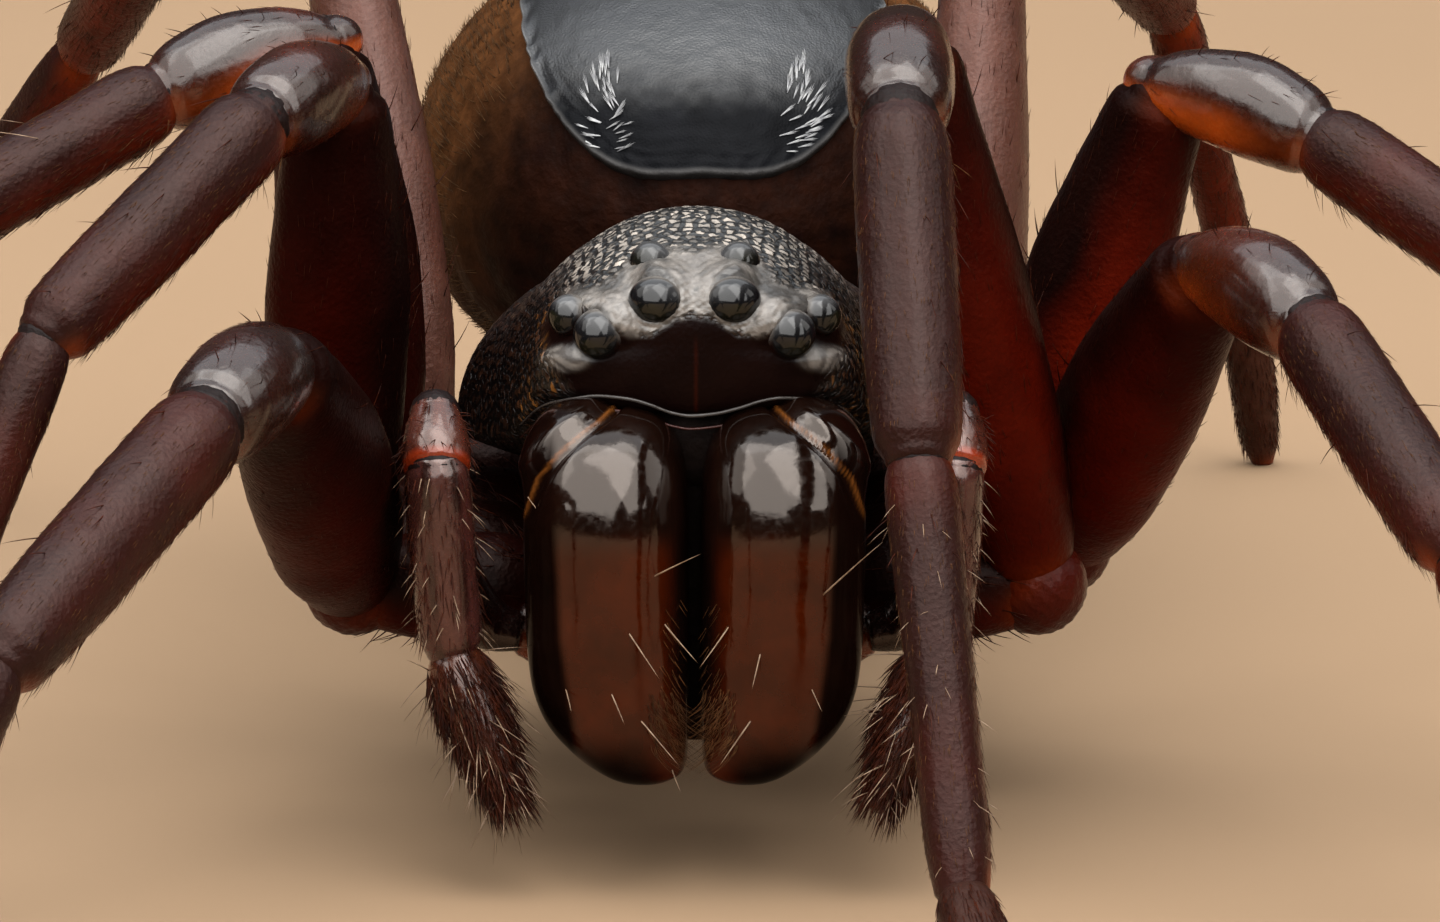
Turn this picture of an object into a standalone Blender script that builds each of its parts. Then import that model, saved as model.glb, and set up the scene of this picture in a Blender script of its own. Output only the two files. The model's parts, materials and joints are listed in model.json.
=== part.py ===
"""Ant mimic sac spider (family Corinnidae), a still model at life size.

Sizes are in millimetres in the spider's own frame and are turned to metres when a
mesh is made. +X is the spider's left side, +Y runs back from the face, +Z is up,
and Z is 0 a little below the ends of the chelicerae. At the end the whole model is
moved so that the middle of its box's underside is the world's origin.
"""
import math

import bmesh
import bpy
import numpy as np
from mathutils import Vector
from mathutils.bvhtree import BVHTree

MM = 0.001
GAP = 0.25            # between one node and the next
EYE_GAP = 0.03        # round an eye in its socket
FLOOR = -0.60         # level that the feet stand on

# Prosoma: carapace sections as (y, half width, underside, widest level, top)
CARAPACE = [
    (-0.05, 0.80, 2.98, 3.20, 3.82),
    (0.12, 1.08, 2.95, 3.15, 3.98),
    (0.35, 1.24, 2.85, 3.10, 4.08),
    (0.70, 1.38, 2.60, 2.90, 4.18),
    (1.20, 1.55, 2.35, 2.62, 4.28),
    (1.80, 1.68, 2.10, 2.42, 4.24),
    (2.40, 1.82, 2.00, 2.28, 3.98),
    (3.00, 1.95, 1.95, 2.22, 3.70),
    (3.60, 1.90, 1.95, 2.22, 3.46),
    (4.20, 1.58, 2.00, 2.25, 3.16),
    (4.58, 1.10, 2.05, 2.30, 2.88),
    (4.75, 0.70, 2.15, 2.35, 2.66),
]
CARAPACE_ROUNDNESS = 2.2
CARAPACE_SIDES = 28

# Sternum with the labium: (y, half width, underside, top)
STERNUM = [
    (1.18, 0.32, 1.05, 1.45),
    (1.40, 0.58, 0.97, 1.70),
    (2.20, 0.86, 0.92, 1.75),
    (3.20, 0.86, 0.92, 1.75),
    (4.10, 0.62, 0.97, 1.72),
    (4.62, 0.30, 1.08, 1.60),
]

# Eyes on the right half: name -> (x, height it looks out at, radius, looks up)
EYES = {
    "ame": (0.29, 3.86, 0.175, False),
    "pme": (0.34, 0.50, 0.140, True),
    "ale": (0.72, 3.60, 0.165, False),
    "ple": (0.94, 3.68, 0.130, False),
}
EYE_SUNK = 0.30       # share of the radius that an eye's centre lies under the skin

# Chelicera on the +X side: (z, middle x, half width, front y, back y)
CHELICERA = [
    (0.20, 0.40, 0.16, -0.52, -0.05),
    (0.29, 0.43, 0.30, -0.72, 0.08),
    (0.52, 0.50, 0.42, -0.88, 0.20),
    (0.92, 0.60, 0.53, -0.97, 0.28),
    (1.40, 0.66, 0.59, -1.02, 0.35),
    (2.10, 0.67, 0.59, -0.92, 0.50),
    (2.45, 0.66, 0.55, -0.74, 0.56),
    (2.66, 0.66, 0.44, -0.48, 0.50),
    (2.72, 0.66, 0.30, -0.30, 0.40),
]
FANG_PATH = [(0.72, 0.36, 0.30), (0.60, 0.42, 0.22), (0.44, 0.42, 0.16), (0.26, 0.34, 0.16)]
FANG_RADII = [0.14, 0.13, 0.09, 0.04]

# Abdomen and its dorsal scutum
ABDOMEN_CENTRE = (0.05, 8.80, 3.10)
ABDOMEN_SEMI = (2.42, 3.20, 2.00)
SCUTUM_RAISE = 0.07
SCUTUM_MIDDLE_Y = 8.05
SCUTUM_HALF = (1.50, 2.40)
SCUTUM_SQUARENESS = 2.5
SCUTUM_FROM_Z = 3.40
PEDICEL_RADIUS = 0.27
PEDICEL_ENDS = ((0.0, 4.98, 2.42), (0.02, 5.43, 2.52))
SPINNERET_ROOT = (0.05, 11.99, 2.45)

# Palp on the +X side
PALP_COXA = ((0.32, 0.70, 0.92), (1.28, 0.72, 1.12))
PALP_JOINTS = [(1.52, 0.64, 1.16), (1.95, 0.00, 2.96), (1.93, -0.36, 2.60),
               (1.83, -0.42, 1.22), (1.38, -0.72, 0.10)]
PALP_FEMUR_BOW = (1.94, 0.28, 2.05)

# Legs: front to back, seen on the +X side
COXA_INNER = {1: (1.12, 1.42, 1.28), 2: (1.15, 2.44, 1.28), 3: (1.12, 3.46, 1.28), 4: (0.92, 4.36, 1.30)}
LEG_BASE = {1: (2.62, 1.30, 1.33), 2: (2.86, 2.62, 1.33), 3: (2.60, 3.55, 1.40), 4: (2.20, 4.60, 1.50)}
LEG_LENGTHS = {
    1: (4.5, 1.6, 2.75, 3.2, 1.8),
    2: (3.8, 1.5, 2.5, 3.1, 1.8),
    3: (3.7, 1.4, 2.5, 3.2, 1.8),
    4: (4.4, 1.6, 3.2, 4.0, 1.9),
}
LEG_STOUTNESS = {1: 1.00, 2: 0.92, 3: 0.88, 4: 0.86}
FEMUR_STOUTNESS = {1: 1.05, 2: 1.05, 3: 0.98, 4: 0.90}

# Pose of each leg: yaw and pitch in degrees of femur, patella, tibia, metatarsus.
# Yaw 0 points forward and grows towards +X. The tarsus runs on down to the floor.
POSE = {
    "left_1": ((-58, 74), (-2, -9), (4, -53), (13, -65)),
    "left_2": ((22, 46), (28, -7), (27, -30), (32, -50)),
    "left_3": ((60, 71), (58, -11), (51, -24), (50, -64)),
    "left_4": ((176, 66), (151, 2), (161, -27), (163, -49)),
    "right_1": ((-6.5, 34), (-15, -2), (-35, -28), (-33, -46)),
    "right_2": ((11, 81), (-21, 0), (-47, -33), (-47, -62)),
    "right_3": ((-119, 84), (-65, -12), (-59, -23), (-58, -70)),
    "right_4": ((-161, 63), (-119, 10), (-159, -34), (-140, -44)),
}

# Leg segment shapes for leg I: (share of length, half width, half depth)
FEMUR_SHAPE = [(0, 0.29, 0.31), (0.08, 0.37, 0.42), (0.28, 0.45, 0.58), (0.52, 0.46, 0.60),
               (0.74, 0.42, 0.52), (0.89, 0.39, 0.44), (1, 0.27, 0.25)]
PATELLA_SHAPE = [(0, 0.28, 0.26), (0.22, 0.37, 0.40), (0.55, 0.40, 0.44), (0.85, 0.38, 0.40)]
TIBIA_SHAPE = [(0, 0.31, 0.32), (0.10, 0.36, 0.38), (0.50, 0.36, 0.38), (0.88, 0.33, 0.35),
               (1, 0.26, 0.27)]
METATARSUS_SHAPE = [(0, 0.22, 0.23), (0.08, 0.27, 0.29), (0.45, 0.245, 0.26), (0.90, 0.235, 0.245)]
TARSUS_SHAPE = [(0, 0.205, 0.21), (0.12, 0.24, 0.24), (0.55, 0.235, 0.235), (0.86, 0.20, 0.20),
                (1, 0.12, 0.12)]
LEG_SIDES = 12

SHELL_BLACK = (0.022, 0.014, 0.012, 1)
LEG_BROWN = (0.065, 0.022, 0.014, 1)
PATELLA_RED = (0.13, 0.035, 0.015, 1)
FLANK_BROWN = (0.075, 0.045, 0.028, 1)
EYE_BLACK = (0.006, 0.006, 0.007, 1)
HORN_RED = (0.10, 0.016, 0.008, 1)


def clear_scene():
    for old in list(bpy.data.objects):
        bpy.data.objects.remove(old, do_unlink=True)


def collection(name):
    made = bpy.data.collections.new(name)
    bpy.context.scene.collection.children.link(made)
    return made


def finish_material(name, colour, roughness, coat=0.0):
    made = bpy.data.materials.new(name)
    made.use_nodes = True
    shader = made.node_tree.nodes["Principled BSDF"]
    shader.inputs["Base Color"].default_value = colour
    shader.inputs["Roughness"].default_value = roughness
    shader.inputs["Metallic"].default_value = 0.0
    shader.inputs["Coat Weight"].default_value = coat
    return made


def unit(vector):
    vector = np.asarray(vector, float)
    return vector / np.linalg.norm(vector)


def heading(yaw, pitch):
    """Unit vector of a segment from its yaw and pitch in degrees."""
    yaw = math.radians(yaw)
    pitch = math.radians(pitch)
    flat = math.cos(pitch)
    return np.array([math.sin(yaw) * flat, -math.cos(yaw) * flat, math.sin(pitch)])


def signed_power(value, exponent):
    return math.copysign(abs(value) ** exponent, value)


def mesh_object(name, verts, faces, origin, material, home, root, smooth_angle=50):
    """Make one node from points in millimetres; its own origin is where it joins on."""
    origin = np.asarray(origin, float)
    mesh = bpy.data.meshes.new(name)
    points = [tuple((np.asarray(v, float) - origin) * MM) for v in verts]
    mesh.from_pydata(points, [], faces)
    work = bmesh.new()
    work.from_mesh(mesh)
    bmesh.ops.recalc_face_normals(work, faces=work.faces)
    work.to_mesh(mesh)
    work.free()
    mesh.shade_smooth()
    mesh.set_sharp_from_angle(angle=math.radians(smooth_angle))
    mesh.materials.append(material)
    made = bpy.data.objects.new(name, mesh)
    made.location = Vector(origin * MM)
    made.parent = root
    home.objects.link(made)
    return made


def skin_rings(rings):
    """Points and faces of a closed body through rings of equal point count."""
    count = len(rings[0])
    verts = [point for ring in rings for point in ring]
    faces = [list(range(count))]
    for row in range(len(rings) - 1):
        for step in range(count):
            after = (step + 1) % count
            low = row * count
            faces.append([low + step, low + after, low + count + after, low + count + step])
    last = (len(rings) - 1) * count
    faces.append([last + step for step in reversed(range(count))])
    return verts, faces


def section(centre, side, up, half_side, half_up, sides, squareness=2.0):
    ring = []
    for step in range(sides):
        turn = 2 * math.pi * step / sides
        across = signed_power(math.cos(turn), 2 / squareness) * half_side
        above = signed_power(math.sin(turn), 2 / squareness) * half_up
        ring.append(np.asarray(centre) + np.asarray(side) * across + np.asarray(up) * above)
    return ring


def mirror_point(point, way):
    return (point[0] * way, point[1], point[2])


def carapace_ring(station):
    """One upright section of the carapace, arched over its widest level."""
    y, half, low, widest, top = station
    ring = []
    for step in range(CARAPACE_SIDES):
        turn = 2 * math.pi * step / CARAPACE_SIDES
        reach = top - widest if math.sin(turn) > 0 else widest - low
        across = signed_power(math.cos(turn), 2 / CARAPACE_ROUNDNESS) * half
        above = signed_power(math.sin(turn), 2 / CARAPACE_ROUNDNESS) * reach
        ring.append((across, y, widest + above))
    return ring


def make_carapace(material, home, root):
    verts, faces = skin_rings([carapace_ring(station) for station in CARAPACE])
    return mesh_object("carapace", verts, faces, (0, 2.4, 2.4), material, home, root)


def make_sternum(material, home, root):
    rings = []
    for y, half, low, top in STERNUM:
        middle = (0, y, (low + top) / 2)
        rings.append(section(middle, (1, 0, 0), (0, 0, 1), half, (top - low) / 2, 16, 2.6))
    verts, faces = skin_rings(rings)
    return mesh_object("sternum", verts, faces, (0, 3.0, 1.3), material, home, root)


def eye_places(carapace):
    """Where each eye sits: on the shell in front of, or above, its named place."""
    mesh = carapace.data
    shift = np.array(carapace.location) / MM
    points = [Vector(np.array(v.co) / MM + shift) for v in mesh.vertices]
    shell = BVHTree.FromPolygons(points, [tuple(p.vertices) for p in mesh.polygons])
    places = {}
    for name, (x, place, radius, looks_up) in EYES.items():
        for side, way in (("left", 1), ("right", -1)):
            if looks_up:
                start = Vector((x * way, place, 9))
                aim = Vector((0, 0, -1))
            else:
                start = Vector((x * way, -9, place))
                aim = Vector((0, 1, 0))
            spot, normal, _, _ = shell.ray_cast(start, aim)
            centre = np.array(spot) - np.array(normal) * radius * EYE_SUNK
            places["eye_" + name + "_" + side] = (centre, radius)
    return places


def ball(name, centre, radius, material, home, root, segments=12, rows=8):
    work = bmesh.new()
    bmesh.ops.create_uvsphere(work, u_segments=segments, v_segments=rows, radius=radius * MM)
    mesh = bpy.data.meshes.new(name)
    work.to_mesh(mesh)
    work.free()
    mesh.shade_smooth()
    mesh.materials.append(material)
    made = bpy.data.objects.new(name, mesh)
    made.location = Vector(np.asarray(centre) * MM)
    made.parent = root
    home.objects.link(made)
    return made


def boolean(target, operation, others):
    """Apply one Boolean between the target and every object of a collection."""
    bpy.context.view_layer.update()
    step = target.modifiers.new("shape", "BOOLEAN")
    step.operand_type = "COLLECTION"
    step.collection = others
    step.operation = operation
    step.solver = "EXACT"
    graph = bpy.context.evaluated_depsgraph_get()
    shaped = bpy.data.meshes.new_from_object(target.evaluated_get(graph))
    target.modifiers.clear()
    target.data = shaped
    for spent in list(others.objects):
        bpy.data.objects.remove(spent, do_unlink=True)


def hide_cutters(cutters):
    cutters.hide_render = True
    for cutter in cutters.objects:
        cutter.display_type = "WIRE"
        cutter.hide_render = True


def keep_largest(target):
    """Keep only the largest closed surface of a node."""
    work = bmesh.new()
    work.from_mesh(target.data)
    left = set(work.verts)
    groups = []
    while left:
        seed = left.pop()
        group = {seed}
        edge_of_search = [seed]
        while edge_of_search:
            point = edge_of_search.pop()
            for edge in point.link_edges:
                other = edge.other_vert(point)
                if other not in group:
                    group.add(other)
                    edge_of_search.append(other)
        left -= group
        groups.append(group)
    groups.sort(key=len, reverse=True)
    for group in groups[1:]:
        bmesh.ops.delete(work, geom=list(group), context="VERTS")
    work.to_mesh(target.data)
    work.free()
    target.data.shade_smooth()
    target.data.set_sharp_from_angle(angle=math.radians(50))


def make_eyes(carapace, material, home, root):
    """Set the eyes and cut their sockets out of the carapace."""
    places = eye_places(carapace)
    sockets = collection("eye_sockets")
    for name, (centre, radius) in places.items():
        ball(name + "_socket", centre, radius + EYE_GAP, material, sockets, root)
    hide_cutters(sockets)
    boolean(carapace, "DIFFERENCE", sockets)
    keep_largest(carapace)
    for name, (centre, radius) in places.items():
        ball(name, centre, radius, material, home, root)


def make_chelicera(side, way, shell, horn, home, root):
    rings = []
    for z, middle, half, front, back in CHELICERA:
        centre = (middle * way, (front + back) / 2, z)
        rings.append(section(centre, (way, 0, 0), (0, 1, 0), half, (back - front) / 2, 18, 2.5))
    verts, faces = skin_rings(rings)
    mesh_object("chelicera_" + side, verts, faces, (0.66 * way, 0.2, 2.6), shell, home, root)
    rings = []
    path = [np.array(mirror_point(p, way)) for p in FANG_PATH]
    for step, (point, radius) in enumerate(zip(path, FANG_RADII)):
        before = path[max(step - 1, 0)]
        after = path[min(step + 1, len(path) - 1)]
        along = unit(after - before)
        across = unit(np.cross(along, (0, 0, 1)))
        above = np.cross(across, along)
        rings.append(section(point, across, above, radius, radius, 10))
    verts, faces = skin_rings(rings)
    mesh_object("fang_" + side, verts, faces, path[0], horn, home, root)


def ellipsoid_rings(centre, semi, rows=20, sides=32):
    """Closed rings round the long axis of an egg shape, between two small end rings."""
    rings = []
    for row in range(rows + 1):
        share = 0.06 + 0.88 * row / rows
        turn = math.pi * share
        y = centre[1] - semi[1] * math.cos(turn)
        size = math.sin(turn)
        middle = (centre[0], y, centre[2])
        rings.append(section(middle, (1, 0, 0), (0, 0, 1), semi[0] * size, semi[2] * size, sides))
    return rings


def make_abdomen(skin, home, root):
    """Abdomen with its scutum, a raised plate of the same egg shape over its front and back."""
    verts, faces = skin_rings(ellipsoid_rings(ABDOMEN_CENTRE, ABDOMEN_SEMI))
    abdomen = mesh_object("abdomen", verts, faces, ABDOMEN_CENTRE, skin, home, root)
    plates = collection("scutum_plate")
    outline = collection("scutum_outline")
    raised = [size + SCUTUM_RAISE for size in ABDOMEN_SEMI]
    verts, faces = skin_rings(ellipsoid_rings(ABDOMEN_CENTRE, raised))
    plate = mesh_object("scutum", verts, faces, ABDOMEN_CENTRE, skin, plates, root)
    middle = np.array((ABDOMEN_CENTRE[0], SCUTUM_MIDDLE_Y, SCUTUM_FROM_Z))
    rings = []
    for level in (0.0, 3.0):
        ring = section(middle + (0, 0, level), (1, 0, 0), (0, 1, 0), SCUTUM_HALF[0], SCUTUM_HALF[1],
                       36, SCUTUM_SQUARENESS)
        rings.append(ring)
    verts, faces = skin_rings(rings)
    mesh_object("scutum_prism", verts, faces, middle, skin, outline, root)
    hide_cutters(outline)
    boolean(plate, "INTERSECT", outline)
    boolean(abdomen, "UNION", plates)
    keep_largest(abdomen)


def make_pedicel(skin, home, root):
    front = np.array(PEDICEL_ENDS[0])
    back = np.array(PEDICEL_ENDS[1])
    rings = []
    for share, size in ((0, 0.92), (0.3, 1.0), (0.7, 0.95), (1, 1.0)):
        centre = front + (back - front) * share
        rings.append(section(centre, (1, 0, 0), (0, 0, 1), PEDICEL_RADIUS * size, PEDICEL_RADIUS * size, 12))
    verts, faces = skin_rings(rings)
    mesh_object("pedicel", verts, faces, front, skin, home, root)


def cone(start, way, length, thick, thin, name, material, home, root, sides=10):
    along = unit(way)
    across = unit(np.cross(along, (0.1, 0, 1)))
    above = np.cross(across, along)
    rings = []
    for share, radius in ((0, thick), (0.6, thick * 0.85), (0.92, thin * 1.2), (1, thin)):
        middle = np.asarray(start) + along * length * share
        rings.append(section(middle, across, above, radius, radius, sides))
    verts, faces = skin_rings(rings)
    return mesh_object(name, verts, faces, start, material, home, root)


def make_spinnerets(skin, home, root):
    """A short base with three pairs of spinnerets that point back."""
    x, y, z = SPINNERET_ROOT
    base = cone((x, y + 0.02, z), (0, 1, -0.12), 0.34, 0.46, 0.36, "spinnerets", skin, home, root, 16)
    pairs = collection("spinneret_pairs")
    for row, (out, level, length, radius) in enumerate(
            ((0.20, -0.20, 0.44, 0.15), (0.08, 0.02, 0.30, 0.10), (0.21, 0.20, 0.52, 0.13))):
        for way in (-1, 1):
            start = (x + out * way, y + 0.16, z + level - 0.02)
            tip_way = (0.16 * way, 1, 0.10 * level - 0.05)
            cone(start, tip_way, length, radius, radius * 0.5, "spinneret_" + str(row), skin, pairs, root)
    hide_cutters(pairs)
    boolean(base, "UNION", pairs)
    keep_largest(base)


def limb_frames(joints, ventral_way):
    """Direction, side and upper side of every segment of a limb."""
    frames = []
    for here, there in zip(joints[:-1], joints[1:]):
        along = unit(np.asarray(there) - np.asarray(here))
        above = unit(-np.asarray(ventral_way) + along * np.dot(ventral_way, along))
        frames.append((along, np.cross(along, above), above))
    return frames


def cut_ring(ring, along, plane_point, normal, least):
    """Slide a ring's points along the limb so that they stay behind a cut plane.

    least None lays the ring on the plane. A number keeps it that far short of it.
    """
    made = []
    facing = np.dot(along, normal)
    for point in ring:
        to_plane = np.dot(plane_point - point, normal) / facing
        if least is None:
            point = point + along * to_plane
        elif to_plane < least:
            point = point + along * (to_plane - least)
        made.append(point)
    return made


def segment_rings(start, end, frame, shape, stout, sides, first_cut, last_cut):
    """Rings of one segment between the cut planes of its two joints."""
    along, side, above = frame
    length = np.linalg.norm(np.asarray(end) - np.asarray(start))
    rings = []
    for row, (share, wide, deep) in enumerate(shape):
        centre = np.asarray(start) + along * length * share
        ring = section(centre, side, above, wide * stout, deep * stout, sides)
        if first_cut is not None:
            least = None if row == 0 else 0.07 * row
            ring = cut_ring(ring, -along, first_cut[0], -first_cut[1], least)
        if last_cut is not None:
            from_end = len(shape) - 1 - row
            least = None if from_end == 0 else 0.07 * from_end
            ring = cut_ring(ring, along, last_cut[0], last_cut[1], least)
        rings.append(ring)
    return rings


def joint_cut(joint, before, after, offset):
    """Cut plane across a joint, halfway between its two directions."""
    normal = unit(np.asarray(before) + np.asarray(after))
    return np.asarray(joint) + normal * offset, normal


def square_cut(point, along, offset):
    return np.asarray(point) + np.asarray(along) * offset, np.asarray(along)


def limb_node(name, rings, origin, material, home, root):
    verts, faces = skin_rings(rings)
    return mesh_object(name, verts, faces, origin, material, home, root)


def leg_joints(name, number, way):
    """Joint places of one leg, from its base out to the tarsus tip on the floor."""
    joints = [np.array(mirror_point(LEG_BASE[number], way))]
    lengths = LEG_LENGTHS[number]
    for (yaw, pitch), length in zip(POSE[name], lengths):
        joints.append(joints[-1] + heading(yaw, pitch) * length)
    slope = math.degrees(math.asin((joints[-1][2] - FLOOR) / lengths[4]))
    joints.append(joints[-1] + heading(POSE[name][3][0], -slope) * lengths[4])
    return joints


def make_leg(name, number, way, looks, home, root):
    joints = leg_joints(name, number, way)
    stout = LEG_STOUTNESS[number]
    femur_way = unit(joints[1] - joints[0])
    tibia_way = unit(joints[3] - joints[2])
    frames = limb_frames(joints, tibia_way - femur_way)
    ways = [frame[0] for frame in frames]
    inner = np.array(mirror_point(COXA_INNER[number], way))
    coxa_way = unit(joints[0] - inner)
    base_before, normal = joint_cut(joints[0], coxa_way, ways[0], -GAP / 2)
    side = unit(np.cross(coxa_way, (0, 0, 1)))
    coxa_frame = (coxa_way, side, np.cross(side, coxa_way))
    coxa_shape = [(0, 0.36, 0.36), (0.3, 0.42, 0.42), (0.7, 0.41, 0.41), (1, 0.31, 0.31)]
    coxa_cut = square_cut(inner, coxa_way, 0)
    base_cut = (base_before, normal)
    rings = segment_rings(inner, joints[0], coxa_frame, coxa_shape, 0.98, LEG_SIDES, coxa_cut, base_cut)
    limb_node("coxa_" + name, rings, inner, looks["leg"], home, root)
    base_after = joint_cut(joints[0], coxa_way, ways[0], GAP / 2)
    knee_before = joint_cut(joints[1], ways[0], ways[1], -GAP / 2)
    thigh = FEMUR_STOUTNESS[number]
    rings = segment_rings(joints[0], joints[1], frames[0], FEMUR_SHAPE, thigh, LEG_SIDES,
                          base_after, knee_before)
    limb_node("femur_" + name, rings, joints[0], looks["leg"], home, root)
    knee_after = joint_cut(joints[1], ways[0], ways[1], GAP / 2)
    bend = joint_cut(joints[2], ways[1], ways[2], 0)
    shin_before = joint_cut(joints[3], ways[2], ways[3], -GAP / 2)
    rings = segment_rings(joints[1], joints[2], frames[1], PATELLA_SHAPE, stout, LEG_SIDES, knee_after, None)
    rings += segment_rings(joints[2], joints[3], frames[2], TIBIA_SHAPE, stout, LEG_SIDES,
                           bend, shin_before)
    limb_node("tibia_" + name, rings, joints[1], looks["patella"], home, root)
    shin_after = joint_cut(joints[3], ways[2], ways[3], GAP / 2)
    ankle = joint_cut(joints[4], ways[3], ways[4], 0)
    rings = segment_rings(joints[3], joints[4], frames[3], METATARSUS_SHAPE, stout, LEG_SIDES - 2,
                          shin_after, None)
    floor = square_cut((0, 0, FLOOR), (0, 0, -1), 0)
    rings += segment_rings(joints[4], joints[5], frames[4], TARSUS_SHAPE, stout, LEG_SIDES - 2,
                           ankle, floor)
    limb_node("tarsus_" + name, rings, joints[3], looks["leg"], home, root)


def make_palp(side, way, looks, home, root):
    """Slender palp of a female beside the chelicera."""
    inner = np.array(mirror_point(PALP_COXA[0], way))
    outer = np.array(mirror_point(PALP_COXA[1], way))
    along = unit(outer - inner)
    across = unit(np.cross(along, (0, 0, 1)))
    frame = (along, across, np.cross(across, along))
    shape = [(0, 0.15, 0.24), (0.25, 0.19, 0.34), (0.7, 0.19, 0.32), (1, 0.17, 0.22)]
    rings = segment_rings(inner, outer, frame, shape, 1, 12, None, None)
    limb_node("palp_coxa_" + side, rings, inner, looks["leg"], home, root)
    joints = [np.array(mirror_point(p, way)) for p in PALP_JOINTS]
    frames = limb_frames(joints, (0, 0.3, -1))
    ways = [frame[0] for frame in frames]
    bow = np.array(mirror_point(PALP_FEMUR_BOW, way))
    thigh_frames = limb_frames([joints[0], bow, joints[1]], (0, 0.3, -1))
    root_half = [(0, 0.19, 0.19), (0.35, 0.23, 0.24), (0.75, 0.23, 0.25)]
    tip_half = [(0, 0.23, 0.25), (0.4, 0.24, 0.25), (1, 0.19, 0.20)]
    start = square_cut(joints[0], thigh_frames[0][0], 0)
    middle = joint_cut(bow, thigh_frames[0][0], thigh_frames[1][0], 0)
    knee_before = joint_cut(joints[1], thigh_frames[1][0], ways[1], -GAP / 2)
    rings = segment_rings(joints[0], bow, thigh_frames[0], root_half, 1, 12, start, None)
    rings += segment_rings(bow, joints[1], thigh_frames[1], tip_half, 1, 12, middle, knee_before)
    limb_node("palp_femur_" + side, rings, joints[0], looks["leg"], home, root)
    knee_after = joint_cut(joints[1], thigh_frames[1][0], ways[1], GAP / 2)
    bend = joint_cut(joints[2], ways[1], ways[2], 0)
    wrist_before = joint_cut(joints[3], ways[2], ways[3], -GAP / 2)
    cap = [(0.30, 0.22, 0.22), (0.70, 0.26, 0.26)]
    shin = [(0, 0.24, 0.25), (0.25, 0.25, 0.26), (0.7, 0.25, 0.25), (1, 0.21, 0.21)]
    rings = segment_rings(joints[1], joints[2], frames[1], cap, 1, 12, knee_after, None)
    rings += segment_rings(joints[2], joints[3], frames[2], shin, 1, 12, bend, wrist_before)
    limb_node("palp_tibia_" + side, rings, joints[1], looks["patella"], home, root)
    wrist_after = joint_cut(joints[3], ways[2], ways[3], GAP / 2)
    foot = [(0, 0.20, 0.20), (0.2, 0.24, 0.24), (0.55, 0.21, 0.21), (0.85, 0.14, 0.14), (1, 0.08, 0.08)]
    rings = segment_rings(joints[3], joints[4], frames[3], foot, 1, 12, wrist_after, None)
    limb_node("palp_tarsus_" + side, rings, joints[3], looks["leg"], home, root)


def centre_on_floor(root, home):
    """Move the whole spider so that its box's underside is centred on the origin."""
    bpy.context.view_layer.update()
    corners = []
    for node in home.objects:
        if node.type == "MESH":
            corners += [np.array(node.matrix_world @ v.co) for v in node.data.vertices]
    low = np.min(corners, axis=0)
    high = np.max(corners, axis=0)
    middle = (low + high) / 2
    root.location = Vector((-middle[0], -middle[1], -low[2]))
    bpy.context.view_layer.update()


def main():
    clear_scene()
    home = collection("ant_mimic_sac_spider")
    root = bpy.data.objects.new("spider", None)
    home.objects.link(root)
    shell = finish_material("black_shell", SHELL_BLACK, 0.28, 0.4)
    skin = finish_material("flank_skin", FLANK_BROWN, 0.6)
    eye = finish_material("eye_lens", EYE_BLACK, 0.06, 1.0)
    horn = finish_material("fang_horn", HORN_RED, 0.25, 0.3)
    looks = {
        "leg": finish_material("leg_shell", LEG_BROWN, 0.32, 0.3),
        "patella": finish_material("shin_shell", PATELLA_RED, 0.26, 0.4),
    }
    carapace = make_carapace(shell, home, root)
    make_eyes(carapace, eye, home, root)
    make_sternum(shell, home, root)
    make_abdomen(skin, home, root)
    make_pedicel(skin, home, root)
    make_spinnerets(skin, home, root)
    for side, way in (("left", 1), ("right", -1)):
        make_chelicera(side, way, shell, horn, home, root)
        make_palp(side, way, looks, home, root)
        for number in (1, 2, 3, 4):
            make_leg(side + "_" + str(number), number, way, looks, home, root)
    centre_on_floor(root, home)


main()
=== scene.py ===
"""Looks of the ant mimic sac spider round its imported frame.

Points are worked out in millimetres in the spider's own frame, as in the part: +X is
its left side, +Y runs back from the face, +Z is up. They turn to world metres when a
mesh is made.
"""
import json
import math
from collections import namedtuple

import bpy
import numpy as np
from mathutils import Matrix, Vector
from mathutils.bvhtree import BVHTree

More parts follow.
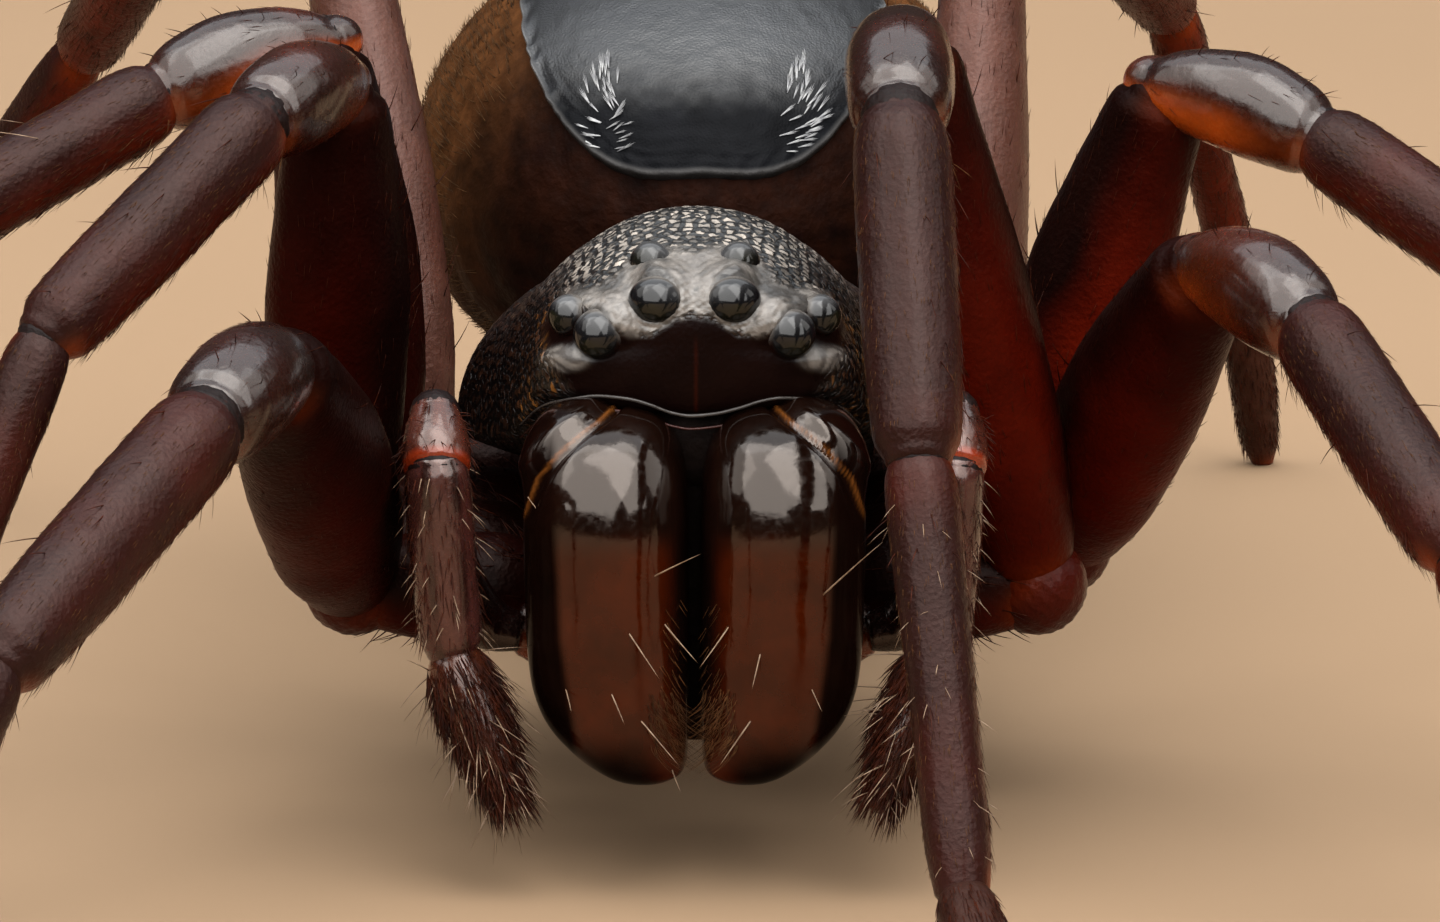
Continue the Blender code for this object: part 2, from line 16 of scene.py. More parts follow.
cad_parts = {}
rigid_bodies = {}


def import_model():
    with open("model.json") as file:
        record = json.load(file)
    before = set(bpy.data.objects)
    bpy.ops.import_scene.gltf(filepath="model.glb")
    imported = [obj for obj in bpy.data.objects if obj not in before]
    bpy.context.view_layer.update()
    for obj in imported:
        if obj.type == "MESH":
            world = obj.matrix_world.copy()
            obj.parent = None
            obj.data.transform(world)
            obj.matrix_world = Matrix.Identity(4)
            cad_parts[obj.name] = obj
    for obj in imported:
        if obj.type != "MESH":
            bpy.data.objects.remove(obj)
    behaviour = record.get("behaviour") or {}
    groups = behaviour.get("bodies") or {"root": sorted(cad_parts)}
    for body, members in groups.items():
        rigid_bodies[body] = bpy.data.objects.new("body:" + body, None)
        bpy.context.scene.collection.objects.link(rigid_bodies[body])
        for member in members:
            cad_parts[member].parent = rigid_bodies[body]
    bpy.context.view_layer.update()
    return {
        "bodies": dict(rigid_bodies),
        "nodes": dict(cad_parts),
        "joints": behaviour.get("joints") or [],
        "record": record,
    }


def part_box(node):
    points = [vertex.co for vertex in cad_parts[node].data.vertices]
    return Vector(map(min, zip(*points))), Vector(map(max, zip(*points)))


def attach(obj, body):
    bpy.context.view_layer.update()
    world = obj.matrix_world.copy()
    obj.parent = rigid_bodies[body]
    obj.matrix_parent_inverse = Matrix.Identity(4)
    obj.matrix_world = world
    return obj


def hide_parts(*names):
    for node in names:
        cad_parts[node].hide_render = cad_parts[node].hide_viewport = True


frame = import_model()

MM = 0.001
FLOOR = -0.60
# The least corner of the sternum's box in the spider's own frame, which places that frame
STERNUM_CORNER = (-0.86, 1.18, 0.92)
SHIFT = np.array(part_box("sternum")[0]) / MM - np.array(STERNUM_CORNER)
RANDOM = np.random.default_rng(41)

# Camera: looks down by its pitch at a point in front of the face
VIEW_PITCH = math.radians(13)
VIEW_DISTANCE = 75.0
VIEW_TARGET = np.array((0.19, 0.0, 2.6))
LENS = 249.375
VIEW_WAY = np.array((0, math.cos(VIEW_PITCH), -math.sin(VIEW_PITCH)))
VIEW_UP = np.array((0, math.sin(VIEW_PITCH), math.cos(VIEW_PITCH)))
EYE_POINT = VIEW_TARGET - VIEW_WAY * VIEW_DISTANCE
# The photograph's middle in pixels, and its pixels to a unit of slope
PHOTO_MIDDLE = (720, 461)
PIXELS = 9975.0

# y, half width, lowest z, z of the widest line, top z
CARAPACE = [
    (-0.135, 0.02, 3.36, 3.38, 3.40),
    (-0.130, 0.30, 3.20, 3.33, 3.60),
    (-0.105, 0.58, 3.07, 3.26, 3.74),
    (-0.050, 0.82, 2.98, 3.20, 3.84),
    (0.12, 1.05, 2.95, 3.15, 3.98),
    (0.35, 1.18, 2.85, 3.10, 4.08),
    (0.70, 1.27, 2.60, 2.90, 4.18),
    (1.20, 1.39, 2.35, 2.62, 4.28),
    (1.80, 1.52, 2.10, 2.42, 4.16),
    (2.40, 1.70, 2.00, 2.28, 3.88),
    (3.00, 1.86, 1.95, 2.22, 3.64),
    (3.60, 1.84, 1.95, 2.22, 3.44),
    (4.20, 1.56, 2.00, 2.25, 3.16),
    (4.58, 1.10, 2.05, 2.30, 2.88),
    (4.75, 0.70, 2.15, 2.35, 2.66),
    (4.80, 0.02, 2.30, 2.40, 2.50),
]
CARAPACE_ROUNDNESS = 2.05
HEAD_SCALE = (0.078, 0.112)
# y, half width, lowest z, top z
STERNUM = [
    (1.16, 0.02, 1.20, 1.45),
    (1.18, 0.32, 1.05, 1.45),
    (1.40, 0.58, 0.97, 1.70),
    (2.20, 0.86, 0.92, 1.75),
    (3.20, 0.86, 0.92, 1.75),
    (4.10, 0.62, 0.97, 1.72),
    (4.62, 0.30, 1.08, 1.60),
    (4.66, 0.02, 1.30, 1.40),
]
STERNUM_ROUNDNESS = 2.6
# z, middle x, half width, front y, back y
CHELICERA = [
    (0.200, 0.38, 0.02, -0.34, -0.28),
    (0.215, 0.37, 0.15, -0.52, -0.05),
    (0.270, 0.38, 0.28, -0.68, 0.06),
    (0.490, 0.49, 0.45, -0.88, 0.18),
    (0.760, 0.595, 0.555, -0.95, 0.25),
    (1.030, 0.635, 0.60, -0.99, 0.30),
    (1.420, 0.65, 0.62, -1.03, 0.36),
    (2.10, 0.655, 0.63, -1.03, 0.50),
    (2.45, 0.655, 0.61, -0.98, 0.55),
    (2.70, 0.66, 0.56, -0.84, 0.56),
    (2.88, 0.66, 0.47, -0.64, 0.45),
    (2.98, 0.66, 0.34, -0.44, 0.25),
    (3.03, 0.66, 0.13, -0.24, 0.00),
    (3.035, 0.66, 0.02, -0.15, -0.10),
]
JAW_YAW = math.radians(10)
JAW_ROUNDNESS = 2.35
FANG_PATH = [(0.72, 0.36, 0.30), (0.60, 0.42, 0.22), (0.44, 0.42, 0.16), (0.26, 0.34, 0.16)]
FANG_RADII = [0.14, 0.13, 0.09, 0.02]
ABDOMEN_CENTRE = np.array((0.05, 8.80, 3.10))
ABDOMEN_SEMI = np.array((2.42, 3.20, 2.00))
SCUTUM_RAISE = 0.07
SCUTUM_MIDDLE_Y = 8.05
SCUTUM_HALF = (1.50, 2.40)
SCUTUM_SQUARENESS = 2.5
PEDICEL_ENDS = ((0.0, 4.70, 2.40), (0.03, 5.90, 2.60))
SPINNERET_ROOT = (0.05, 11.99, 2.45)

PALP_COXA = ((0.32, 0.70, 0.92), (1.28, 0.72, 1.12))
PALP_JOINTS = [(1.52, 0.64, 1.16), (1.95, 0.00, 2.96), (1.93, -0.36, 2.60),
               (1.83, -0.42, 1.22), (1.38, -0.72, 0.10)]
PALP_FEMUR_BOW = (1.94, 0.28, 2.05)

COXA_INNER = {1: (1.12, 1.42, 1.28), 2: (1.15, 2.44, 1.28), 3: (1.12, 3.46, 1.28), 4: (0.92, 4.36, 1.30)}
LEG_BASE = {1: (2.62, 1.30, 1.33), 2: (2.86, 2.62, 1.33), 3: (2.60, 3.55, 1.40), 4: (2.20, 4.60, 1.50)}
LEG_LENGTHS = {
    1: (4.5, 1.6, 2.75, 3.2, 1.8),
    2: (3.8, 1.5, 2.5, 3.1, 1.8),
    3: (3.7, 1.4, 2.5, 3.2, 1.8),
    4: (4.4, 1.6, 3.2, 4.0, 1.9),
}
LEG_STOUTNESS = {1: 1.00, 2: 0.92, 3: 0.88, 4: 0.86}
FEMUR_STOUTNESS = {1: 1.05, 2: 1.05, 3: 0.98, 4: 0.90}
# Yaw and pitch in degrees of each leg's femur, patella, tibia and metatarsus. The tarsus keeps the
# metatarsus's yaw and slopes down to the floor.
POSE = {
    "left_1": ((-58, 74), (-2, -9), (4, -53), (13, -65)),
    "left_2": ((22, 46), (28, -7), (27, -30), (32, -50)),
    "left_3": ((60, 71), (58, -11), (51, -24), (50, -64)),
    "left_4": ((176, 66), (151, 2), (161, -27), (163, -49)),
    "right_1": ((-6.5, 34), (-15, -2), (-35, -28), (-33, -46)),
    "right_2": ((11, 81), (-21, 0), (-47, -33), (-47, -62)),
    "right_3": ((-119, 84), (-65, -12), (-59, -23), (-58, -70)),
    "right_4": ((-161, 63), (-119, 10), (-159, -34), (-140, -44)),
}
# The shapes of the limbs' segments: share of the length, half width, half depth
FEMUR_SHAPE = [(0, 0.27, 0.28), (0.04, 0.33, 0.36), (0.10, 0.38, 0.44), (0.28, 0.45, 0.58),
               (0.52, 0.46, 0.60), (0.74, 0.42, 0.52), (0.88, 0.39, 0.44), (0.95, 0.385, 0.40),
               (0.975, 0.37, 0.37), (1, 0.29, 0.27)]
PATELLA_SHAPE = [(0, 0.25, 0.24), (0.10, 0.325, 0.32), (0.30, 0.385, 0.40), (0.60, 0.415, 0.45),
                 (0.84, 0.39, 0.41), (0.95, 0.345, 0.36), (1, 0.29, 0.30)]
TIBIA_SHAPE = [(0, 0.27, 0.28), (0.05, 0.335, 0.35), (0.14, 0.36, 0.38), (0.50, 0.36, 0.38),
               (0.86, 0.335, 0.355), (0.95, 0.315, 0.33), (1, 0.25, 0.26)]
METATARSUS_SHAPE = [(0, 0.20, 0.21), (0.05, 0.255, 0.27), (0.12, 0.27, 0.285), (0.45, 0.245, 0.26),
                    (0.90, 0.235, 0.245), (1, 0.20, 0.21)]
TARSUS_SHAPE = [(0, 0.18, 0.19), (0.08, 0.225, 0.23), (0.30, 0.24, 0.24), (0.60, 0.23, 0.23),
                (0.86, 0.19, 0.19), (1, 0.11, 0.11)]
COXA_SHAPE = [(0, 0.34, 0.34), (0.3, 0.42, 0.42), (0.7, 0.415, 0.415), (1, 0.33, 0.33)]
COXA_STOUTNESS = 0.98
PALP_COXA_SHAPE = [(0, 0.15, 0.24), (0.25, 0.19, 0.34), (0.7, 0.19, 0.32), (1, 0.17, 0.22)]
PALP_FEMUR_RADII = [(0, 0.15), (0.1, 0.20), (0.35, 0.23), (0.75, 0.24), (0.95, 0.22), (1, 0.12)]
PALP_PATELLA_SHAPE = [(0, 0.19, 0.19), (0.30, 0.235, 0.235), (0.70, 0.265, 0.265), (0.95, 0.25, 0.25),
                      (1, 0.22, 0.22)]
PALP_TIBIA_SHAPE = [(0, 0.20, 0.21), (0.06, 0.235, 0.245), (0.25, 0.25, 0.26), (0.7, 0.25, 0.25),
                    (0.94, 0.23, 0.23), (1, 0.19, 0.19)]
PALP_TARSUS_SHAPE = [(0, 0.17, 0.17), (0.06, 0.215, 0.215), (0.2, 0.24, 0.24), (0.55, 0.21, 0.21),
                     (0.85, 0.14, 0.14), (1, 0.07, 0.07)]
CAP_RINGS = 9
SHELL_RIPPLE = 0.006
CUFF_RINGS = 36
CUFF_COLUMNS = 48
CUFF_WRINKLES = 26

# How red each femur is below, where it differs, and how amber the patella of each pair is below
THIGH_REDNESS = {"right_2": 0.45, "right_1": 0.8, "left_3": 1.9, "left_2": 1.4}
AMBER_UNDER = {1: 0.45, 2: 0.65, 3: 1.30, 4: 0.80}

# Base colours, linear
BLACK = (0.006, 0.004, 0.0035)
SHELL = (0.011, 0.0042, 0.0022)
# painted sheen: pale grey for the smooth face round the eyes, its swellings and the eyes' upper rims
PALE_SHEEN = (0.115, 0.103, 0.092)
SIDE_BROWN = (0.022, 0.008, 0.003)
GOLD = (0.17, 0.065, 0.012)
FEMUR_RED = (0.036, 0.0020, 0.0004)
FEMUR_DARK = (0.0040, 0.0009, 0.0006)
SHIN_BROWN = (0.060, 0.0062, 0.0018)
SHIN_DARK = (0.0110, 0.0032, 0.0026)
AMBER = (0.26, 0.038, 0.003)
PATELLA_RED = (0.0090, 0.0020, 0.0012)
FLANK = (0.058, 0.022, 0.007)
BELLY = (0.016, 0.006, 0.003)
# hind femora: lighter brown, partly their own colour and partly a painted sheen
HIND_FEMUR = (0.050, 0.019, 0.013)
FOOT_DARK = (0.018, 0.007, 0.005)
FOOT_BROWN = (0.035, 0.012, 0.007)
PALP_BAND = (0.16, 0.016, 0.003)
CLAW = (0.02, 0.010, 0.008)
FLOOR_COLOURS = ((0.216, 0.143, 0.086), (0.243, 0.162, 0.099))
SKY_COLOURS = ((0.36, 0.24, 0.15), (0.62, 0.68, 0.78))


def unit(vector):
    vector = np.asarray(vector, float)
    return vector / np.linalg.norm(vector)


def units(vectors):
    return vectors / np.maximum(np.linalg.norm(vectors, axis=-1, keepdims=True), 1e-12)


def mirrored(point, way):
    return np.array((point[0] * way, point[1], point[2]))


def heading(yaw, pitch):
    yaw = math.radians(yaw)
    pitch = math.radians(pitch)
    flat = math.cos(pitch)
    return np.array([math.sin(yaw) * flat, -math.cos(yaw) * flat, math.sin(pitch)])


def smoothstep(low, high, value):
    share = np.clip((np.asarray(value, float) - low) / (high - low), 0, 1)
    return share * share * (3 - 2 * share)


def mix(first, second, share):
    share = np.asarray(share)[..., None]
    return np.asarray(first) * (1 - share) + np.asarray(second) * share


def turns(columns):
    """Angles of a ring's columns."""
    return 2 * np.pi * np.arange(columns) / columns


def signed_power(value, exponent):
    return np.sign(value) * np.abs(value) ** exponent


def curve_through(places, values, at):
    """Smooth curve through named values that doesn't overshoot between them."""
    places = np.asarray(places, float)
    values = np.asarray(values, float)
    at = np.clip(at, places[0], places[-1])
    step = np.diff(places)
    slope = np.diff(values) / step
    tangent = np.zeros(len(places))
    for k in range(1, len(places) - 1):
        if slope[k - 1] * slope[k] > 0:
            first = 2 * step[k] + step[k - 1]
            second = step[k] + 2 * step[k - 1]
            tangent[k] = (first + second) / (first / slope[k - 1] + second / slope[k])
    tangent[0] = slope[0]
    tangent[-1] = slope[-1]
    low = np.clip(np.searchsorted(places, at, side="right") - 1, 0, len(places) - 2)
    t = (at - places[low]) / step[low]
    h = step[low]
    return ((1 + 2 * t) * (1 - t) ** 2 * values[low] + t * (1 - t) ** 2 * h * tangent[low]
            + t * t * (3 - 2 * t) * values[low + 1] + t * t * (t - 1) * h * tangent[low + 1])


def table_curves(table, at):
    columns = np.array(table, float).T
    return [curve_through(columns[0], column, at) for column in columns[1:]]


def table_along(table, measured, at):
    """Curves through a table's columns, at shares of the way that its measured columns cover."""
    table = np.array(table)
    run = np.concatenate([[0], np.cumsum(np.sqrt(sum(np.diff(table[:, k]) ** 2 for k in measured)))])
    return [curve_through(run, column, at * run[-1]) for column in table.T], run[-1]


def noise(points, scale, seed=0):
    """Smooth value noise in -1..1 at points in millimetres."""
    place = np.asarray(points, float) * scale + seed * 17.31
    cell = np.floor(place)
    share = place - cell
    share = share * share * (3 - 2 * share)
    total = np.zeros(place.shape[:-1])
    for dx in (0, 1):
        for dy in (0, 1):
            for dz in (0, 1):
                corner = cell + np.array((dx, dy, dz))
                value = np.sin(corner @ np.array((127.1, 311.7, 74.7)) + seed) * 43758.5453
                value = (value - np.floor(value)) * 2 - 1
                wx = share[..., 0] if dx else 1 - share[..., 0]
                wy = share[..., 1] if dy else 1 - share[..., 1]
                wz = share[..., 2] if dz else 1 - share[..., 2]
                total += value * wx * wy * wz
    return total


def layered(points, scale, seed=0, octaves=3):
    total = 0
    for k in range(octaves):
        total = total + noise(points, scale * 2 ** k, seed + k) * 0.5 ** k
    return total


def chance(first, second, seed):
    value = np.sin(first * 12.9898 + second * 78.233 + seed) * 43758.5453
    return value - np.floor(value)


def scales(along, across, pitch_along, pitch_across, seed):
    """Staggered cells: how far inside its edges a place is, and how far from its cell's middle."""
    row = np.floor(along / pitch_along)
    first = np.full(along.shape, 9.0)
    second = np.full(along.shape, 9.0)
    for dr in (-1, 0, 1):
        r = row + dr
        off = 0.5 * (r % 2) + 0.3 * chance(r, 0 * r, seed)
        col = np.floor(across / pitch_across - off)
        for dc in (-1, 0, 1):
            c = col + dc
            middle_w = (c + off + 0.5 + 0.36 * (chance(r, c, seed + 1) - 0.5)) * pitch_across
            middle_s = (r + 0.5 + 0.36 * (chance(r, c, seed + 2) - 0.5)) * pitch_along
            far = np.sqrt(((across - middle_w) / pitch_across) ** 2 + ((along - middle_s) / pitch_along) ** 2)
            second = np.minimum(second, np.maximum(first, far))
            first = np.minimum(first, far)
    return second - first, first


def world(points):
    return (np.asarray(points, float) + SHIFT) * MM


def build_mesh(name, verts, quads, tris, material, tint=None):
    """A mesh object riding on the spider, from points in millimetres."""
    quads = np.asarray(quads, np.int32).reshape(-1, 4)
    tris = np.asarray(tris, np.int32).reshape(-1, 3)
    mesh = bpy.data.meshes.new(name)
    mesh.vertices.add(len(verts))
    mesh.vertices.foreach_set("co", world(verts).astype(np.float32).ravel())
    corners = np.concatenate([quads.ravel(), tris.ravel()])
    counts = np.concatenate([np.full(len(quads), 4), np.full(len(tris), 3)])
    starts = np.concatenate([[0], np.cumsum(counts)[:-1]])
    mesh.loops.add(len(corners))
    mesh.loops.foreach_set("vertex_index", corners)
    mesh.polygons.add(len(counts))
    mesh.polygons.foreach_set("loop_start", starts.astype(np.int32))
    mesh.update(calc_edges=True)
    mesh.validate()
    mesh.shade_smooth()
    mesh.materials.append(material)
    if tint is not None:
        layer = mesh.color_attributes.new("tint", "FLOAT_COLOR", "POINT")
        full = np.ones((len(verts), 4), np.float32)
        full[:, :3] = tint
        layer.data.foreach_set("color", full.ravel())
    made = bpy.data.objects.new(name, mesh)
    bpy.context.scene.collection.objects.link(made)
    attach(made, "root")
    return made


def ring_quads(rows, columns, base):
    row = np.arange(rows - 1)[:, None]
    col = np.arange(columns)[None, :]
    after = (col + 1) % columns
    quads = np.stack([row * columns + col, row * columns + after,
                      (row + 1) * columns + after, (row + 1) * columns + col], axis=-1)
    return quads.reshape(-1, 4) + base


def faces_out(points):
    """Whether the quads of a ring grid face outwards."""
    near = points - points.mean((0, 1))
    first, third = near[:-1], np.roll(near[1:], -1, axis=1)
    second, fourth = np.roll(near[:-1], -1, axis=1), near[1:]
    return (first * (np.cross(second, third) + np.cross(third, fourth))).sum() > 0


class Skin:
    """Gathers closed grids of points and their colours into one mesh."""

    def __init__(self):
        self.verts = []
        self.tints = []
        self.glosses = []
        self.quads = []
        self.tris = []
        self.count = 0

    def add_grid(self, points, tint, gloss=1.0):
        """points (rows, columns, 3) are rings from end to end; both ends are closed."""
        rows, columns = points.shape[:2]
        tint = np.broadcast_to(np.asarray(tint, float), points.shape)
        gloss = np.broadcast_to(np.asarray(gloss, float), points.shape[:2])
        self.glosses += [gloss.ravel(), gloss[0].mean()[None], gloss[-1].mean()[None]]
        base = self.count
        self.verts += [points.reshape(-1, 3), points[0].mean(0)[None], points[-1].mean(0)[None]]
        self.tints += [tint.reshape(-1, 3), tint[0].mean(0)[None], tint[-1].mean(0)[None]]
        order = 1 if faces_out(points) else -1
        self.quads.append(ring_quads(rows, columns, base)[:, ::order])
        first = base + rows * columns
        here = np.arange(columns)
        after = (here + 1) % columns
        self.tris.append(np.stack([np.full(columns, first), base + after, base + here], -1)[:, ::order])
        last = base + (rows - 1) * columns
        self.tris.append(np.stack([np.full(columns, first + 1), last + here, last + after], -1)[:, ::order])
        self.count += rows * columns + 2

    def make(self, name, material):
        made = build_mesh(name, np.concatenate(self.verts), np.concatenate(self.quads),
                          np.concatenate(self.tris), material, np.concatenate(self.tints))
        layer = made.data.attributes.new("gloss", "FLOAT", "POINT")
        layer.data.foreach_set("value", np.concatenate(self.glosses).astype(np.float32))
        return made


def grid_normals(points):
    """Outward normals of a ring grid that is closed round its columns."""
    across = np.roll(points, -1, axis=1) - np.roll(points, 1, axis=1)
    along = np.gradient(points, axis=0)
    normal = units(np.cross(across, along))
    middle = points.mean(axis=1, keepdims=True)
    flip = np.sign(((points - middle) * normal).sum(-1).sum())
    return normal * (flip if flip != 0 else 1)


def tree_of(made):
    """Ray casting tree of a piece, in the spider's millimetres."""
    mesh = made.data
    places = np.zeros(len(mesh.vertices) * 3)
    mesh.vertices.foreach_get("co", places)
    places = places.reshape(-1, 3) / MM - SHIFT
    return BVHTree.FromPolygons([Vector(p) for p in places], [tuple(p.vertices) for p in mesh.polygons])


def photo_ray(u, v):
    """Start and way of the line of sight through a place in the photograph's 1440 x 922."""
    side = np.array((1.0, 0, 0))
    across = (u - PHOTO_MIDDLE[0]) / PIXELS
    up = (PHOTO_MIDDLE[1] - v) / PIXELS
    return EYE_POINT, unit(VIEW_WAY + side * across + VIEW_UP * up)


def spot_at(tree, u, v):
    start, way = photo_ray(u, v)
    place, normal, _, _ = tree.ray_cast(Vector(start), Vector(way))
    if place is None:
        return None, None
    return np.array(place), np.array(normal)


# Materials

def fill(tree, node, sockets):
    """Link each named socket to another node's output, or set it where its value is plain."""
    for socket, value in sockets.items():
        if isinstance(value, bpy.types.NodeSocket):
            tree.links.new(value, node.inputs[socket])
        else:
            node.inputs[socket].default_value = value


def put(tree, kind, sockets=None, **options):
    """A new node with its options and sockets set."""
    node = tree.nodes.new("ShaderNode" + kind)
    for option, value in options.items():
        setattr(node, option, value)
    fill(tree, node, sockets or {})
    return node


def new_material(name):
    made = bpy.data.materials.new(name)
    made.use_nodes = True
    return made, made.node_tree, made.node_tree.nodes["Principled BSDF"]


def millimetres(tree):
    """Places on the object in millimetres, as texture coordinates."""
    where = put(tree, "TexCoord")
    return put(tree, "Mapping", {"Vector": where.outputs["Object"], "Scale": (1 / MM,) * 3}).outputs["Vector"]


def multiplied(tree, first, second):
    shade = put(tree, "Mix", {"Factor": 1.0, "A": first, "B": second},
                data_type="RGBA", blend_type="MULTIPLY")
    return shade.outputs["Result"]


def toned_tint(tree, tone, spread):
    """The mesh's own tint, made darker and lighter by a noise."""
    tint = put(tree, "Attribute", attribute_name="tint")
    spread = put(tree, "MapRange", {"Value": tone.outputs["Fac"], **spread})
    return multiplied(tree, tint.outputs["Color"], spread.outputs["Result"])


def ramp_between(tree, value, dark, light, first=0.0, last=1.0):
    """A colour that runs from dark to light as a value goes from first to last."""
    ramp = put(tree, "ValToRGB", {"Fac": value})
    for element, place, colour in zip(ramp.color_ramp.elements, (first, last), (dark, light)):
        element.position = place
        element.color = (*colour, 1)
    return ramp.outputs["Color"]


def shell_material(name, roughness, coat, coat_roughness, grain, grain_depth, pits, pit_depth,
                   tone_scale=2.2, tone_low=0.72, tone_high=1.30, glow=0.0, reflect=0.5, varied=False,
                   warm=(1.0, 1.0, 1.0)):
    """Chitin whose colour comes from the mesh's tint, with tone, roughness and bump in nodes."""
    made, tree, shader = new_material(name)
    place = millimetres(tree)
    middle = {"From Min": 0.3, "From Max": 0.7}
    tone = put(tree, "TexNoise", {"Vector": place, "Scale": tone_scale, "Detail": 5, "Roughness": 0.62})
    fine = put(tree, "TexNoise", {"Vector": place, "Scale": grain, "Detail": 4})
    cells = put(tree, "TexVoronoi", {"Vector": place, "Scale": pits})
    rough = put(tree, "MapRange", {"Value": fine.outputs["Fac"], "To Min": max(roughness - 0.07, 0.02),
                                   "To Max": roughness + 0.09, **middle})
    bump = put(tree, "Bump", {"Height": fine.outputs["Fac"], "Strength": 1.0, "Distance": grain_depth * MM})
    pitted = put(tree, "Bump", {"Height": cells.outputs["Distance"], "Strength": 1.0,
                                "Distance": pit_depth * MM, "Normal": bump.outputs["Normal"]})
    fill(tree, shader, {
        "Base Color": toned_tint(tree, tone, {"To Min": tone_low, "To Max": tone_high, **middle}),
        "Roughness": rough.outputs["Result"],
        "Normal": pitted.outputs["Normal"],
        "Coat Weight": coat,
        "Coat Roughness": coat_roughness,
        "Specular IOR Level": reflect,
        "Specular Tint": (*warm, 1),
    })
    if varied:
        gloss = put(tree, "Attribute", attribute_name="gloss")
        for socket, most in (("Coat Weight", coat), ("Specular IOR Level", reflect)):
            share = put(tree, "Math", {0: gloss.outputs["Fac"], 1: most}, operation="MULTIPLY")
            fill(tree, shader, {socket: share.outputs["Value"]})
    if glow > 0:
        fill(tree, shader, {"Subsurface Weight": glow, "Subsurface Radius": (1.0, 0.22, 0.08),
                            "Subsurface Scale": 0.35 * MM})
    return made


def scaled_shell_material(name):
    """Head shell: flat scales in staggered rows, drawn in the skin's own unwrap, with dark gaps."""
    made = shell_material(name, 0.36, 0.15, 0.20, 38, 0.003, 22, 0.002, reflect=0.45, varied=True)
    tree = made.node_tree
    shader = tree.nodes["Principled BSDF"]
    old_colour = shader.inputs["Base Color"].links[0].from_socket
    old_normal = shader.inputs["Normal"].links[0].from_socket
    place = put(tree, "Attribute", attribute_name="place")
    stretch = put(tree, "Mapping", {"Vector": place.outputs["Vector"], "Scale": (1 / 0.105, 1 / 0.072, 1)})
    cell = {"Vector": stretch.outputs["Vector"], "Randomness": 0.75, "Scale": 1.0}
    warp = put(tree, "TexNoise", {"Vector": stretch.outputs["Vector"], "Scale": 1.3})
    edges = put(tree, "TexVoronoi", cell, voronoi_dimensions="2D", feature="DISTANCE_TO_EDGE")
    opened = put(tree, "Math", {0: warp.outputs["Fac"], 1: -0.30, 2: edges.outputs["Distance"]},
                 operation="MULTIPLY_ADD")
    top = put(tree, "MapRange", {"Value": opened.outputs["Value"], "From Min": -0.02, "From Max": 0.10},
              interpolation_type="SMOOTHSTEP")
    bare = put(tree, "Attribute", attribute_name="bare")
    covered = put(tree, "Math", {0: top.outputs["Result"], 1: bare.outputs["Fac"]}, operation="MAXIMUM")
    each = put(tree, "TexVoronoi", cell, voronoi_dimensions="2D")
    part = put(tree, "SeparateColor", {"Color": each.outputs["Color"]})
    bright = put(tree, "MapRange", {"Value": part.outputs["Red"], "To Min": 0.25, "To Max": 1.75})
    even = put(tree, "Mix", {"Factor": bare.outputs["Fac"], "A": bright.outputs["Result"], "B": 1.0})
    gaps = put(tree, "Mix", {"Factor": covered.outputs["Value"], "A": (0.0012, 0.0009, 0.0009, 1),
                             "B": multiplied(tree, old_colour, even.outputs["Result"])}, data_type="RGBA")
    relief = put(tree, "Bump", {"Height": covered.outputs["Value"], "Strength": 1.0, "Distance": 0.020 * MM,
                                "Normal": old_normal})
    fill(tree, shader, {"Base Color": gaps.outputs["Result"], "Normal": relief.outputs["Normal"]})
    return made


def hair_material(name, dark, light, roughness, reflect=0.08):
    made, tree, shader = new_material(name)
    tone = put(tree, "TexNoise", {"Vector": millimetres(tree), "Scale": 14.0, "Detail": 3})
    rough = put(tree, "MapRange", {"Value": tone.outputs["Fac"], "To Min": roughness - 0.08,
                                   "To Max": roughness + 0.12})
    fill(tree, shader, {"Base Color": ramp_between(tree, tone.outputs["Fac"], dark, light, 0.35, 0.68),
                        "Roughness": rough.outputs["Result"], "Specular IOR Level": reflect})
    return made


def eye_material():
    """Dark wet lens in the mesh's own tint."""
    made, tree, shader = new_material("eye_lens")
    tone = put(tree, "TexNoise", {"Vector": millimetres(tree), "Scale": 9})
    fill(tree, shader, {"Base Color": toned_tint(tree, tone, {"To Min": 0.6, "To Max": 1.4}),
                        "Roughness": 0.14, "Coat Weight": 0.16, "Coat Roughness": 0.04,
                        "Specular IOR Level": 0.30})
    return made


